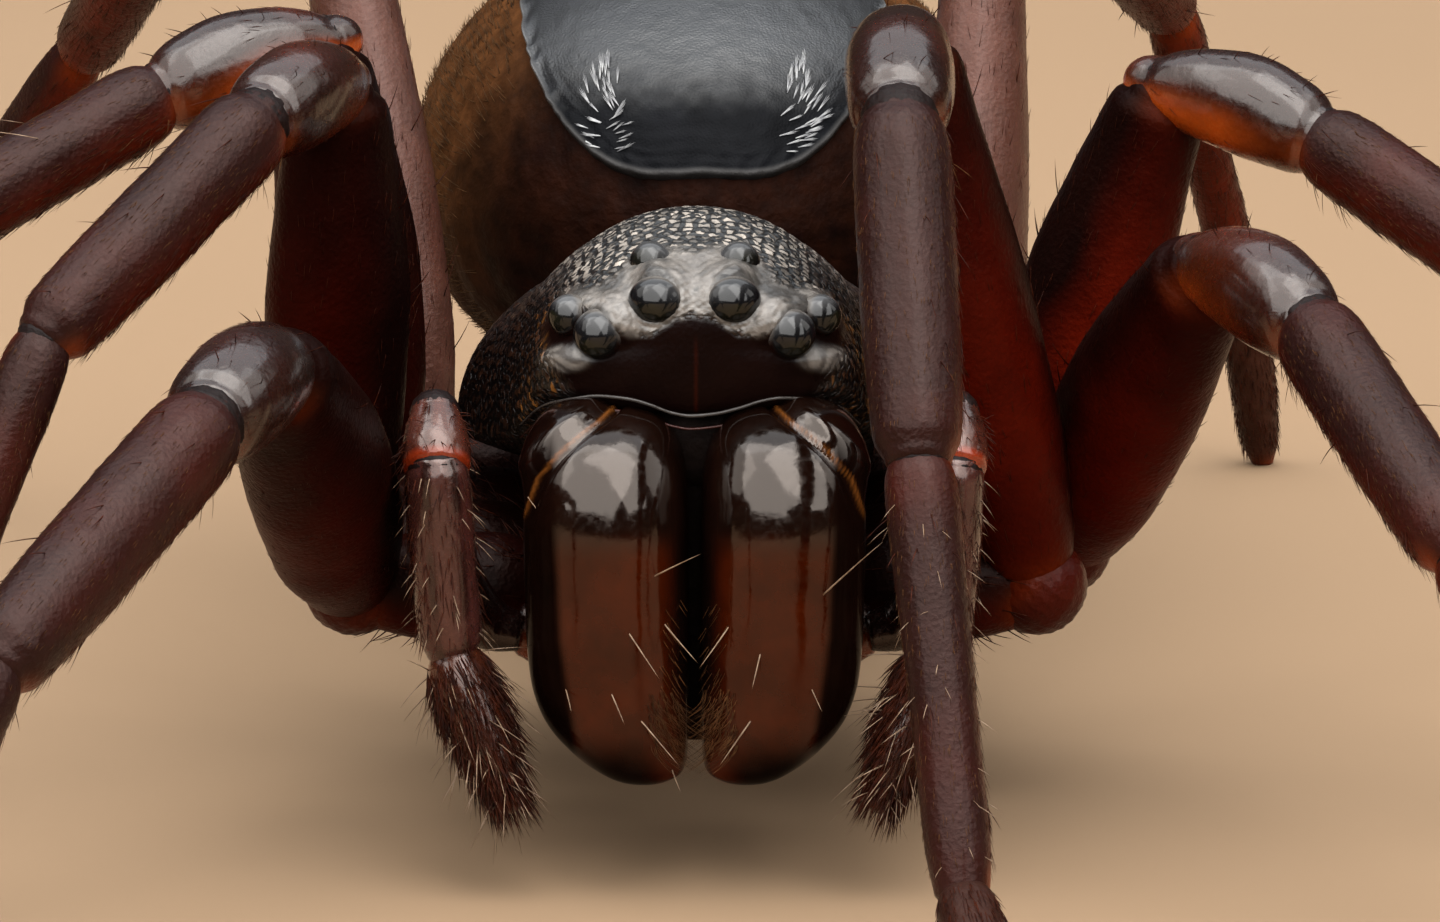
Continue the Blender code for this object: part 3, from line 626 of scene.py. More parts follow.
LOOKS = {
    "carapace": scaled_shell_material("carapace_shell"),
    "plain_shell": shell_material("plain_shell", 0.34, 0.15, 0.20, 38, 0.004, 22, 0.004, reflect=0.4),
    "clypeus": shell_material("clypeus_rim", 0.30, 0.10, 0.15, 30, 0.004, 16, 0.004, reflect=0.30),
    "jaw": shell_material("jaw_shell", 0.11, 0.12, 0.05, 22, 0.0008, 6, 0.0012, tone_low=0.6, tone_high=1.5,
                          reflect=0.46, varied=True, warm=(1.0, 0.86, 0.76)),
    "horn": shell_material("fang_horn", 0.22, 0.5, 0.08, 20, 0.002, 12, 0.002),
    "leg": shell_material("leg_shell", 0.34, 0.12, 0.16, 40, 0.006, 20, 0.005, glow=0.05, reflect=0.30,
                          varied=True, warm=(1.0, 0.66, 0.58)),
    "patella": shell_material("patella_shell", 0.26, 0.45, 0.10, 30, 0.003, 12, 0.003, glow=0.08,
                              reflect=0.40, warm=(1.0, 0.90, 0.84)),
    "palp": shell_material("palp_shell", 0.24, 0.5, 0.10, 30, 0.004, 14, 0.003, glow=0.06, reflect=0.45,
                           warm=(1.0, 0.72, 0.62)),
    "membrane": shell_material("joint_membrane", 0.50, 0.0, 0.15, 30, 0.006, 14, 0.006,
                               glow=0.20, reflect=0.12),
    "scutum": shell_material("scutum_shell", 0.34, 0.20, 0.26, 60, 0.0030, 46, 0.0035, tone_scale=3.0,
                             reflect=0.6, varied=True),
    "flank": shell_material("flank_skin", 0.62, 0.0, 0.4, 26, 0.010, 9, 0.008, tone_scale=4.5,
                            tone_low=0.55, tone_high=1.45, reflect=0.03),
    "eye": eye_material(),
    "red_hair": hair_material("red_hair", (0.010, 0.002, 0.001), (0.045, 0.009, 0.003), 0.42),
    "pale_hair": hair_material("pale_hair", (0.12, 0.07, 0.04), (0.26, 0.18, 0.12), 0.35, reflect=0.3),
    "bronze_hair": hair_material("bronze_hair", (0.016, 0.006, 0.002), (0.085, 0.036, 0.013), 0.42,
                                 reflect=0.04),
    "gold_hair": hair_material("gold_hair", (0.020, 0.009, 0.003), (0.085, 0.040, 0.014), 0.45),
    "white_hair": hair_material("white_hair", (0.22, 0.22, 0.23), (0.38, 0.38, 0.38), 0.45),
}


# Hairs

class Coat:
    """Gathers thin tapered hairs, each with its own small patch of the bake map."""

    def __init__(self):
        self.verts = []
        self.quads = []
        self.tris = []
        self.maps = []
        self.count = 0

    def add(self, roots, ways, bends, lengths, radii, places, steps=3, sides=3, sunk=0.02):
        """roots, ways and bends are (n, 3); places (n, 2) are the roots on the skin's unwrap."""
        n = len(roots)
        if n == 0:
            return
        ways = units(np.asarray(ways, float))
        bends = np.asarray(bends, float)
        lengths = np.broadcast_to(lengths, n)
        radii = np.broadcast_to(radii, n)
        across = units(np.cross(ways, bends + np.array((0.013, 0.021, 0.017))))
        above = np.cross(ways, across)
        share = np.linspace(0, 1, steps + 1)
        rings = []
        for k, s in enumerate(share[:-1]):
            run = s * lengths if k else -sunk * np.ones(n)
            centre = roots + ways * run[:, None] + bends * ((s * s) * lengths)[:, None]
            thick = radii * (1 - 0.72 * s ** 1.3)
            for side in range(sides):
                turn = 2 * math.pi * side / sides
                rings.append(centre + across * (math.cos(turn) * thick)[:, None]
                             + above * (math.sin(turn) * thick)[:, None])
        tip = roots + ways * lengths[:, None] + bends * lengths[:, None]
        rings.append(tip)
        points = np.stack(rings, axis=1)
        points[..., 2] = np.maximum(points[..., 2], FLOOR + 0.004)
        each = steps * sides + 1
        quads = []
        for k in range(steps - 1):
            for side in range(sides):
                after = (side + 1) % sides
                quads.append((k * sides + side, k * sides + after,
                              (k + 1) * sides + after, (k + 1) * sides + side))
        tris = []
        low = (steps - 1) * sides
        for side in range(sides):
            tris.append((low + side, low + (side + 1) % sides, steps * sides))
        tris.append(tuple(reversed(range(sides)))[:3])
        start = self.count + np.arange(n)[:, None, None] * each
        self.quads.append((np.array(quads)[None] + start).reshape(-1, 4))
        self.tris.append((np.array(tris)[None] + start).reshape(-1, 3))
        self.verts.append(points.reshape(-1, 3))
        local = np.zeros((each, 2))
        for k in range(each):
            ring = min(k // sides, steps)
            local[k] = (0.0015 * math.cos(2 * math.pi * (k % sides) / sides) * (1 - ring / (steps + 1)),
                        0.0015 * (2 * ring / steps - 1))
        places = np.clip(np.asarray(places, float), 0.004, 0.996)
        self.maps.append((places[:, None, :] + local[None]).reshape(-1, 2))
        self.count += n * each

    def make(self, name, material):
        verts = np.concatenate(self.verts)
        quads = np.concatenate(self.quads)
        tris = np.concatenate(self.tris)
        made = build_mesh(name, verts, quads, tris, material)
        layer = made.data.uv_layers.new(name="OFBake")
        corner = np.zeros(len(made.data.loops), np.int32)
        made.data.loops.foreach_get("vertex_index", corner)
        flat = np.concatenate(self.maps)
        layer.data.foreach_set("uv", flat[corner].astype(np.float32).ravel())
        return made


# Head

# Per kind of eye: the way it looks on the left side, its hill (place across and up, height, width) and
# how far the lens stands out, all in eye radii, how far it sits down in millimetres, how much it is
# widened and enlarged, and how strong a painted sky reflection it has on its upper half
Eye = namedtuple("Eye", "way hill out down widened enlarged haze")
EYE_LOOKS = {
    "ame": Eye((0.16, -1.0, 0.10), (-0.30, 0.50, 0.55, 1.60), 0.26, 0.0, 1.14, 1.06, 0.35),
    "pme": Eye((0.12, -0.50, 1.0), (0.0, -1.05, 0.30, 1.30), 0.26, 0.070, 1.0, 1.16, 0.75),
    "ale": Eye((0.45, -1.0, -0.02), (-0.50, 0.60, 0.72, 1.60), 0.38, 0.0, 1.0, 1.16, 0.65),
    "ple": Eye((0.80, -0.62, 0.40), (-0.40, 0.60, 0.55, 1.50), 0.30, 0.0, 1.0, 1.25, 1.0),
}


def front_view(points):
    """Across and up places as seen from the camera's height, in millimetres."""
    return points[..., 0], points[..., 2] * 0.974 + points[..., 1] * 0.225


def eye_sets():
    """Centre and radius of each eye, from the frame."""
    sets = {}
    for kind in EYE_LOOKS:
        for side in ("left", "right"):
            low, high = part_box("eye_" + kind + "_" + side)
            low = np.array(low) / MM - SHIFT
            high = np.array(high) / MM - SHIFT
            sets[kind + "_" + side] = ((low + high) / 2, (high[2] - low[2]) / 2)
    return sets


EYES = eye_sets()


def eye_way(name):
    """The way an eye looks: out of the shell and a little up."""
    return unit(mirrored(EYE_LOOKS[name[:3]].way, 1 if name.endswith("left") else -1))


def eye_hill(name):
    """The swelling of shell that carries an eye and laps over its edge: its place, height and width."""
    centre, radius = EYES[name]
    across, up, high, wide = EYE_LOOKS[name[:3]].hill
    aside = mirrored((across, 0, 0), 1 if name.endswith("left") else -1)
    return centre + aside * radius + VIEW_UP * (up * radius), high * radius, wide * radius


def make_carapace():
    at = np.concatenate([np.linspace(0, 0.42, 150), np.linspace(0.42, 1, 92)[1:]])
    (y, half, low, widest, top), length = table_along(CARAPACE, (0, 1, 4), at)
    columns = 400
    turn = turns(columns)
    reach = np.where(np.sin(turn) > 0, 1, 0)[None, :]
    up = reach * (top - widest)[:, None] + (1 - reach) * (widest - low)[:, None]
    across = signed_power(np.cos(turn), 2 / CARAPACE_ROUNDNESS)[None, :] * half[:, None]
    above = signed_power(np.sin(turn), 2 / CARAPACE_ROUNDNESS)[None, :] * up
    points = np.stack([across, np.broadcast_to(y[:, None], across.shape), widest[:, None] + above], -1)
    # even out the columns along each quarter of a ring
    quarter = columns // 4
    for ring in points:
        closed = np.vstack([ring, ring[:1]])
        run = np.concatenate([[0], np.cumsum(np.linalg.norm(np.diff(closed, axis=0), axis=1))])
        for a in range(0, columns, quarter):
            steps = np.linspace(run[a], run[a + quarter], quarter + 1)[:-1]
            for axis in range(3):
                ring[a:a + quarter, axis] = np.interp(steps, run, closed[:, axis])
    normal = grid_normals(points)
    x, v = front_view(points)
    yy = points[..., 1]
    # the head is pinched in a little behind the eyes and has a groove in its thorax
    groove = np.exp(-((yy - 3.1) / 0.34) ** 4) * np.exp(-(x / 0.05) ** 2) * (points[..., 2] > 3)
    height = -0.10 * groove
    for side in (-1, 1):
        slope = np.exp(-((x - side * (0.35 + 0.30 * (3.0 - yy))) / 0.10) ** 2) * smoothstep(1.4, 2.2, yy) \
            * smoothstep(3.4, 2.8, yy) * (points[..., 2] > 3)
        height = height - 0.035 * slope
        for k in range(4):
            ray_way = (0.9, 0.35 - 0.42 * k)
            gone = (x * side - 0.12) * ray_way[1] + (yy - 3.1) * ray_way[0]
            out = (x * side - 0.12) * ray_way[0] - (yy - 3.1) * ray_way[1]
            mark = np.exp(-(gone / 0.08) ** 2) * smoothstep(0.1, 0.4, out) * smoothstep(1.6, 1.0, out)
            height = height - 0.022 * mark * (points[..., 2] > 2.8)
    run = at * length
    arc = np.linalg.norm(np.roll(points, -1, axis=1) - points, axis=-1)
    around = np.cumsum(arc, axis=1)
    around = around - around[:, quarter][:, None]
    total = arc.sum(axis=1)[:, None]
    around = np.where(around > total / 2, around - total, around)
    s = np.broadcast_to(run[:, None], around.shape)
    bend = 0.05 * noise(points, 1.6, 3)
    gap, middle = scales(s + bend, around, *HEAD_SCALE, 5)
    scale_top = smoothstep(0.03, 0.22, gap)
    # smooth face: a painted sheen in pale grey round the eyes, dark below them
    half_x = np.abs(x)
    ragged = 0.035 * noise(points, 14, 8) + 0.02 * noise(points, 30, 9)
    upper = np.interp(half_x, (0, 0.36, 0.52, 0.62, 0.77, 1.00, 1.10),
                      (4.13, 4.17, 4.04, 3.90, 3.83, 3.80, 3.70))
    lower = np.interp(half_x, (0, 0.14, 0.32, 0.50, 0.62, 0.85, 1.00),
                      (3.62, 3.60, 3.48, 3.47, 3.52, 3.68, 3.74))
    front = smoothstep(1.00, 0.80, yy)
    under = smoothstep(upper + 0.03, upper - 0.05, v + ragged)
    pale = under * smoothstep(lower - 0.02, lower + 0.03, v + ragged)
    pale = pale * front * smoothstep(1.10, 1.02, half_x)
    under_eyes = smoothstep(lower + 0.02, lower - 0.05, v) * smoothstep(0.9, 0.6, yy) \
        * smoothstep(1.12, 0.98, half_x + 0.5 * (3.3 - v))
    bare = np.clip(pale * 0.92 + under_eyes, 0, 1)
    relief = 0.012 * (scale_top - middle) * (1 - bare)
    fade = smoothstep(0.0, 0.10, run)[:, None]
    height = height + relief * fade
    ripple = np.sin(around * 70 + 4 * noise(points, 4, 2)) * np.sin(s * 55 + 3 * noise(points, 3, 7))
    height = height + (0.0040 * ripple + 0.004 * layered(points, 16, 17)) * pale
    # swellings under and outside the side eyes, and low bulges that carry the eyes
    swollen = np.zeros(x.shape)
    for side in (-1, 1):
        swell = np.exp(-(((x - side * 0.96) / 0.20) ** 2 + ((v - 3.30) / 0.11) ** 2)) * front
        height = height + 0.07 * swell
        swollen = np.maximum(swollen, swell)
        dip = np.exp(-(((x - side * 0.50) / 0.28) ** 2 + ((v - 3.40) / 0.09) ** 2)) * front
        height = height - 0.02 * dip
    ringed = np.zeros(x.shape)
    for name, (centre, radius) in EYES.items():
        way = eye_way(name)
        off = points - centre
        along = (off * way).sum(-1)
        away = np.linalg.norm(off - along[..., None] * way, axis=-1) / radius
        close = (np.linalg.norm(off, axis=-1) < radius * 3)
        hill_place, hill_high, hill_wide = eye_hill(name)
        off = points - hill_place
        run_off = np.linalg.norm(off - (off * VIEW_WAY).sum(-1)[..., None] * VIEW_WAY, axis=-1) / hill_wide
        hill = np.clip(1 - run_off ** 2, 0, 1) ** 2 * close
        height = height + hill_high * hill
        ringed = np.maximum(ringed, np.exp(-(away / 0.98) ** 12) * close)
        crack = np.exp(-((away - 1.10) / 0.07) ** 2) * close
        height = height - 0.008 * crack
    points = points + normal * height[..., None]
    tint = np.array(SHELL) * np.ones(points.shape)
    # painted sky reflection: the top of the head is tinted light grey
    shine = smoothstep(3.6, 4.1, v + 0.3 * noise(points, 2.5, 12)) * smoothstep(1.35, 0.7, half_x)
    tint = mix(tint, (0.20, 0.175, 0.15), 0.9 * shine)
    flank = smoothstep(0.85, 1.25, np.abs(x)) * smoothstep(3.95, 3.5, v) * smoothstep(1.5, 0.8, yy)
    spark = smoothstep(0.80, 0.97, chance(np.floor(s / HEAD_SCALE[0]), np.floor(around / HEAD_SCALE[1]), 9))
    tint = mix(tint, SIDE_BROWN, 0.8 * flank)
    tint = mix(tint, GOLD, 0.8 * flank * spark)
    patchy = smoothstep(-0.55, 0.35, layered(points, 5.5, 4) + 0.5 * (0.5 - smoothstep(0.25, 0.9, half_x)))
    grainy = 1 + 0.30 * noise(points, 24, 31) + 0.22 * noise(points, 44, 33)
    grainy = (grainy * (1 - 0.55 * smoothstep(0.55, 0.85, np.abs(noise(points, 9, 35)))))[..., None]
    # painted sheen: the smooth face is tinted pale grey, patchy and grainy
    tint = mix(tint, mix(np.array(PALE_SHEEN) * 0.34, np.array(PALE_SHEEN) * 1.12, patchy) * grainy, pale)
    tint = mix(tint, (0.0035, 0.0010, 0.0007), under_eyes)
    # painted highlight: the swellings under the side eyes are streaked pale grey
    wrinkle = 0.5 + 0.5 * np.sin(v * 60 + 9 * noise(points, 5, 21))
    tint = mix(tint, PALE_SHEEN, smoothstep(0.30, 0.75, swollen) * (0.35 + 0.65 * smoothstep(0.2, 0.6, wrinkle)))
    red_line = np.exp(-((x - 0.01) / 0.014) ** 2) * under_eyes * smoothstep(3.5, 3.3, v)
    tint = mix(tint, (0.022, 0.003, 0.001), 0.5 * red_line)
    tint = mix(tint, (0.004, 0.0025, 0.002), 0.85 * ringed)
    # two dark dotted lines run back along the top of the head
    for side in (-1, 1):
        line = np.exp(-((x - side * (0.10 + 0.02 * yy)) / 0.030) ** 2) * smoothstep(4.08, 4.16, v)
        dots = smoothstep(-0.2, 0.3, np.sin(s * 2 * math.pi / 0.15))
        tint = mix(tint, np.array(BLACK) * 0.4, 0.9 * line * dots)
    skin = Skin()
    shine = 1 - 0.93 * under_eyes * (1 - smoothstep(0.2, 0.6, swollen))
    beside = smoothstep(0.90, 1.25, half_x) * smoothstep(4.1, 3.7, v) * (1 - smoothstep(0.2, 0.5, swollen))
    shine = shine * (1 - 0.75 * beside)
    skin.add_grid(points, tint, shine)
    made = skin.make("carapace_skin", LOOKS["carapace"])
    place = np.stack([around, s + bend, np.zeros(s.shape)], -1).reshape(-1, 3)
    place = np.vstack([place, place[:1], place[-1:]])
    layer = made.data.attributes.new("place", "FLOAT_VECTOR", "POINT")
    layer.data.foreach_set("vector", place.astype(np.float32).ravel())
    cover = np.concatenate([bare.ravel(), bare.ravel()[:1], bare.ravel()[-1:]])
    layer = made.data.attributes.new("bare", "FLOAT", "POINT")
    layer.data.foreach_set("value", cover.astype(np.float32))
    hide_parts("carapace")
    return made


def tube(path, radii, sides, up=(0, 0, 1)):
    """Rings of a tube along a path of points."""
    path = np.asarray(path, float)
    radii = np.broadcast_to(radii, len(path))
    along = units(np.gradient(path, axis=0))
    across = units(np.cross(along, np.asarray(up, float)))
    above = np.cross(across, along)
    turn = turns(sides)
    return (path[:, None, :] + across[:, None, :] * (np.cos(turn)[None, :, None] * radii[:, None, None])
            + above[:, None, :] * (np.sin(turn)[None, :, None] * radii[:, None, None]))


def smooth_path(points, count):
    points = np.asarray(points, float)
    run = np.concatenate([[0], np.cumsum(np.linalg.norm(np.diff(points, axis=0), axis=1))])
    at = np.linspace(0, run[-1], count)
    return np.stack([curve_through(run, points[:, k], at) for k in range(points.shape[1])], -1)


def make_eyes():
    """Each eye is a domed lens on a dark collar, set in its socket."""
    rows = 34
    columns = 56
    for name, (centre, radius) in EYES.items():
        way = eye_way(name)
        looks = EYE_LOOKS[name[:3]]
        centre = centre + way * radius * looks.out
        centre = centre - VIEW_UP * looks.down
        side = unit(np.cross(way, (0, 0, 1) if abs(way[2]) < 0.9 else (0, 1, 0)))
        above = np.cross(side, way)
        side = side * looks.widened
        radius = radius * looks.enlarged
        share = np.linspace(0.02, 1, rows)
        angle = share * math.radians(128)
        bulge = 1.0 + 0.03 * np.cos(angle * 2)
        out = radius * bulge * np.cos(angle)
        wide = radius * np.sin(angle) * (1 + 0.015 * np.exp(-((angle - 1.65) / 0.12) ** 2))
        turn = turns(columns)
        points = (centre + way * out[:, None, None]
                  + side * (wide[:, None] * np.cos(turn))[..., None]
                  + above * (wide[:, None] * np.sin(turn))[..., None])
        rim = smoothstep(1.15, 1.45, angle)
        low = smoothstep(0.2, -0.9, np.sin(turn))[None, :]
        olive = np.array((0.0060, 0.0058, 0.0032))
        tint = mix(np.array((0.0035, 0.0035, 0.0040)) * np.ones(points.shape), olive,
                   low * smoothstep(1.5, 0.4, angle)[:, None])
        tint = mix(tint, (0.010, 0.003, 0.0015), 0.9 * rim[:, None] * np.ones(columns)[None])
        facing = units(points - centre)
        outer = np.sign(centre[0])
        # painted sky reflection: the lens's upper half is tinted grey
        haze = smoothstep(-0.05, 0.75, (facing * VIEW_UP).sum(-1) - 0.35 * facing[..., 0] * outer)
        haze = haze * looks.haze * (0.85 + 0.15 * noise(points, 9, 3))
        tint = mix(tint, (0.060, 0.060, 0.062), haze)
        # the upper rim of the lens takes the face's painted sheen
        merge = smoothstep(1.05, 1.45, angle)[:, None] * smoothstep(0.0, 0.7, (facing * VIEW_UP).sum(-1)
                                                                   - 0.6 * facing[..., 0] * outer)
        tint = mix(tint, np.array(PALE_SHEEN) * 0.8, merge)
        skin = Skin()
        skin.add_grid(points, tint)
        made = skin.make("lens_" + name, LOOKS["eye"])
        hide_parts("eye_" + name)


# The rim's line in the photograph, its middle and half its width there
RIM_PHOTO = [(520, 425), (545, 405), (572, 399), (600, 396), (628, 399), (650, 405), (672, 413),
             (690, 416), (714, 414), (740, 408), (762, 401), (780, 398), (808, 399), (835, 405), (860, 424)]
RIM_MIDDLE = 690
RIM_HALF = 170


def make_clypeus_rim(carapace_tree):
    """The bright wavy rim under the face and a finer ridge below it."""
    skin = Skin()
    for drop, radius, colour, inset in ((0, 0.013, (0.024, 0.020, 0.018), 0.00),
                                        (13, 0.009, (0.030, 0.004, 0.002), 0.03)):
        path = []
        for u, v in RIM_PHOTO:
            start, way = photo_ray(u, v + drop)
            shell, _ = spot_at(carapace_tree, u, v - 12)
            face_y = 0.06 + 0.6 * abs((u - RIM_MIDDLE) / RIM_HALF) ** 2.4
            if shell is not None and shell[1] < 1.2:
                face_y = shell[1]
            path.append(start + way * ((face_y + inset - 0.03 - start[1]) / way[1]))
        path = smooth_path(path, 120)
        swell = np.sin(np.linspace(0.15, 3.0, 120)) ** 0.4
        rings = tube(path, radius * (1 + 0.12 * noise(path, 4, 6)) * swell, 10)
        skin.add_grid(rings, colour)
    made = skin.make("clypeus_rim", LOOKS["clypeus"])


def make_face_wall():
    """The dark fold behind the jaws' tops, from the rim under the face to their hinge."""
    skin = Skin()
    at = np.linspace(0, 1, 26)
    columns = 90
    turn = turns(columns)
    rings = []
    for t in at:
        z = 2.30 + 0.74 * t
        half = 1.10 - 0.06 * t
        deep = 0.36 + 0.02 * t
        size = math.sin(math.pi * min(max(t, 0.06), 0.97)) ** 0.25
        ring = np.stack([signed_power(np.cos(turn), 0.8) * half * size,
                         0.42 + signed_power(np.sin(turn), 0.8) * deep * size,
                         np.full(columns, z)], -1)
        rings.append(ring)
    points = np.array(rings)
    skin.add_grid(points, (0.005, 0.003, 0.0025))
    path = smooth_path([(0, 0.34, 0.40), (0, 0.28, 1.5), (0, 0.34, 2.6)], 40)
    skin.add_grid(tube(path, 0.17, 28, up=(0, 1, 0)), (0.003, 0.0015, 0.001))
    made = skin.make("jaw_hinge_fold", LOOKS["flank"])


def make_jaw(side, way):
    at = np.linspace(0, 1, 130)
    (z, middle, half, front, back), _ = table_along(CHELICERA, (0, 2, 3), at)
    columns = 120
    turn = turns(columns)
    across = signed_power(np.cos(turn), 2 / JAW_ROUNDNESS)[None, :] * half[:, None]
    deep = signed_power(np.sin(turn), 2 / JAW_ROUNDNESS)[None, :] * ((back - front) / 2)[:, None]
    x = middle[:, None] + across * math.cos(JAW_YAW) - deep * math.sin(JAW_YAW) * 0.6
    y = ((front + back) / 2)[:, None] + deep * math.cos(JAW_YAW) + across * math.sin(JAW_YAW) * 0.6
    # the inner side stays clear of the other jaw
    x = 0.022 + np.logaddexp(0, (x - 0.022) * 40) / 40
    points = np.stack([x, y, np.broadcast_to(z[:, None], x.shape)], -1)
    height = 0.010 * layered(points, 1.3, 2)
    # the lobe on the outer upper corner, set off by a fine gold line in a groove
    u, v = front_view(points)
    line = np.interp(v, (2.05, 2.14, 2.40, 2.59, 2.75, 2.84, 2.95),
                     (1.30, 1.27, 1.17, 1.01, 0.83, 0.71, 0.60))
    on_front = (points[..., 1] < 0.25) * smoothstep(2.02, 2.16, v)
    seam = np.exp(-((u - line) / 0.014) ** 2) * on_front
    groove = np.exp(-((u - line + 0.045) / 0.035) ** 2) * on_front
    lobe = smoothstep(0.0, 0.16, u - line) * on_front * smoothstep(2.05, 2.45, v)
    normal = grid_normals(points)
    height = height + 0.085 * lobe - 0.030 * groove + 0.008 * seam
    points = points + normal * height[..., None]
    tint = np.array((0.0040, 0.0014, 0.0008)) * np.ones(points.shape)
    # lower front: red-brown, partly the jaw's own colour and partly a painted reflection of the lit floor
    tint = mix(tint, (0.024, 0.0028, 0.0002), smoothstep(2.05, 1.75, v) * smoothstep(0.10, 0.26, u))
    inner = smoothstep(0.45, 0.12, u) * smoothstep(0.9, 0.3, v)
    tint = mix(tint, (0.05, 0.010, 0.004), 0.8 * inner)
    tint = mix(tint, (0.10, 0.032, 0.006), 0.8 * seam)
    # the flat front is polished, the sides and the lower end are dull and dark; the red-brown, partly a
    # painted floor reflection, stays only on the polished front
    across_front = u - np.interp(v, (0.3, 1.2, 2.2, 2.9), (0.45, 0.58, 0.62, 0.62))
    polish = smoothstep(0.46, 0.38, across_front) * smoothstep(-0.52, -0.44, across_front)
    polish = polish * smoothstep(0.18, 0.55, v + 0.05 * noise(points, 5, 3))
    gloss = 0.02 + (0.98 - 0.30 * smoothstep(2.0, 1.7, v)) * polish
    gloss = np.maximum(gloss, 0.8 * lobe)
    tint = mix((0.0030, 0.0010, 0.0006), tint, np.clip(polish + seam + inner, 0, 1))
    points[..., 0] *= way
    if way < 0:
        points = points[:, ::-1]
        tint = tint[:, ::-1]
        gloss = gloss[:, ::-1]
    skin = Skin()
    skin.add_grid(points, tint, gloss)
    made = skin.make("jaw_" + side, LOOKS["jaw"])
    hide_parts("chelicera_" + side)
    path = smooth_path([(p[0] * way, p[1], p[2]) for p in FANG_PATH], 40)
    radii = np.interp(np.linspace(0, 1, 40), np.linspace(0, 1, 4), FANG_RADII)
    skin = Skin()
    skin.add_grid(tube(path, radii, 18), mix((0.12, 0.03, 0.012), (0.02, 0.008, 0.006),
                                             np.linspace(0, 1, 40))[:, None, :] * np.ones((1, 18, 1)))
    fang = skin.make("fang_skin_" + side, LOOKS["horn"])
    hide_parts("fang_" + side)
    return made


def make_sternum():
    at = np.linspace(0, 1, 90)
    (y, half, low, top), _ = table_along(STERNUM, (0, 1), at)
    columns = 120
    turn = turns(columns)
    x = signed_power(np.cos(turn), 2 / STERNUM_ROUNDNESS)[None, :] * half[:, None]
    rise = signed_power(np.sin(turn), 2 / STERNUM_ROUNDNESS)[None, :]
    z = ((low + top) / 2)[:, None] + rise * ((top - low) / 2)[:, None]
    points = np.stack([x, np.broadcast_to(y[:, None], x.shape), z], -1)
    normal = grid_normals(points)
    gap, _ = scales(points[..., 1], points[..., 0], 0.10, 0.10, 3)
    seam = np.exp(-((points[..., 1] - 1.62) / 0.035) ** 2)
    height = 0.012 * smoothstep(0.03, 0.2, gap) - 0.05 * seam
    points = points + normal * height[..., None]
    skin = Skin()
    skin.add_grid(points, mix(BLACK, (0.024, 0.010, 0.006), smoothstep(0.03, 0.2, gap)))
    made = skin.make("sternum_skin", LOOKS["plain_shell"])
    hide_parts("sternum")


# Abdomen

def scutum_edge(turn):
    """Unit vectors, in the egg's own scale, of the plate's outline."""
    x = signed_power(np.cos(turn), 2 / SCUTUM_SQUARENESS) * SCUTUM_HALF[0]
    y = SCUTUM_MIDDLE_Y + signed_power(np.sin(turn), 2 / SCUTUM_SQUARENESS) * SCUTUM_HALF[1]
    size = ABDOMEN_SEMI + SCUTUM_RAISE
    nx = x / size[0]
    ny = (y - ABDOMEN_CENTRE[1]) / size[1]
    flat = np.sqrt(nx ** 2 + ny ** 2)
    limit = 0.975
    nx = np.where(flat > limit, nx * limit / flat, nx)
    ny = np.where(flat > limit, ny * limit / flat, ny)
    return np.stack([nx, ny, np.sqrt(1 - nx ** 2 - ny ** 2)], -1)


# Each pair's distance from the middle, level, length and radius
SPINNERETS = [(0.20, -0.20, 0.44, 0.15), (0.08, 0.02, 0.30, 0.10), (0.21, 0.20, 0.52, 0.13)]


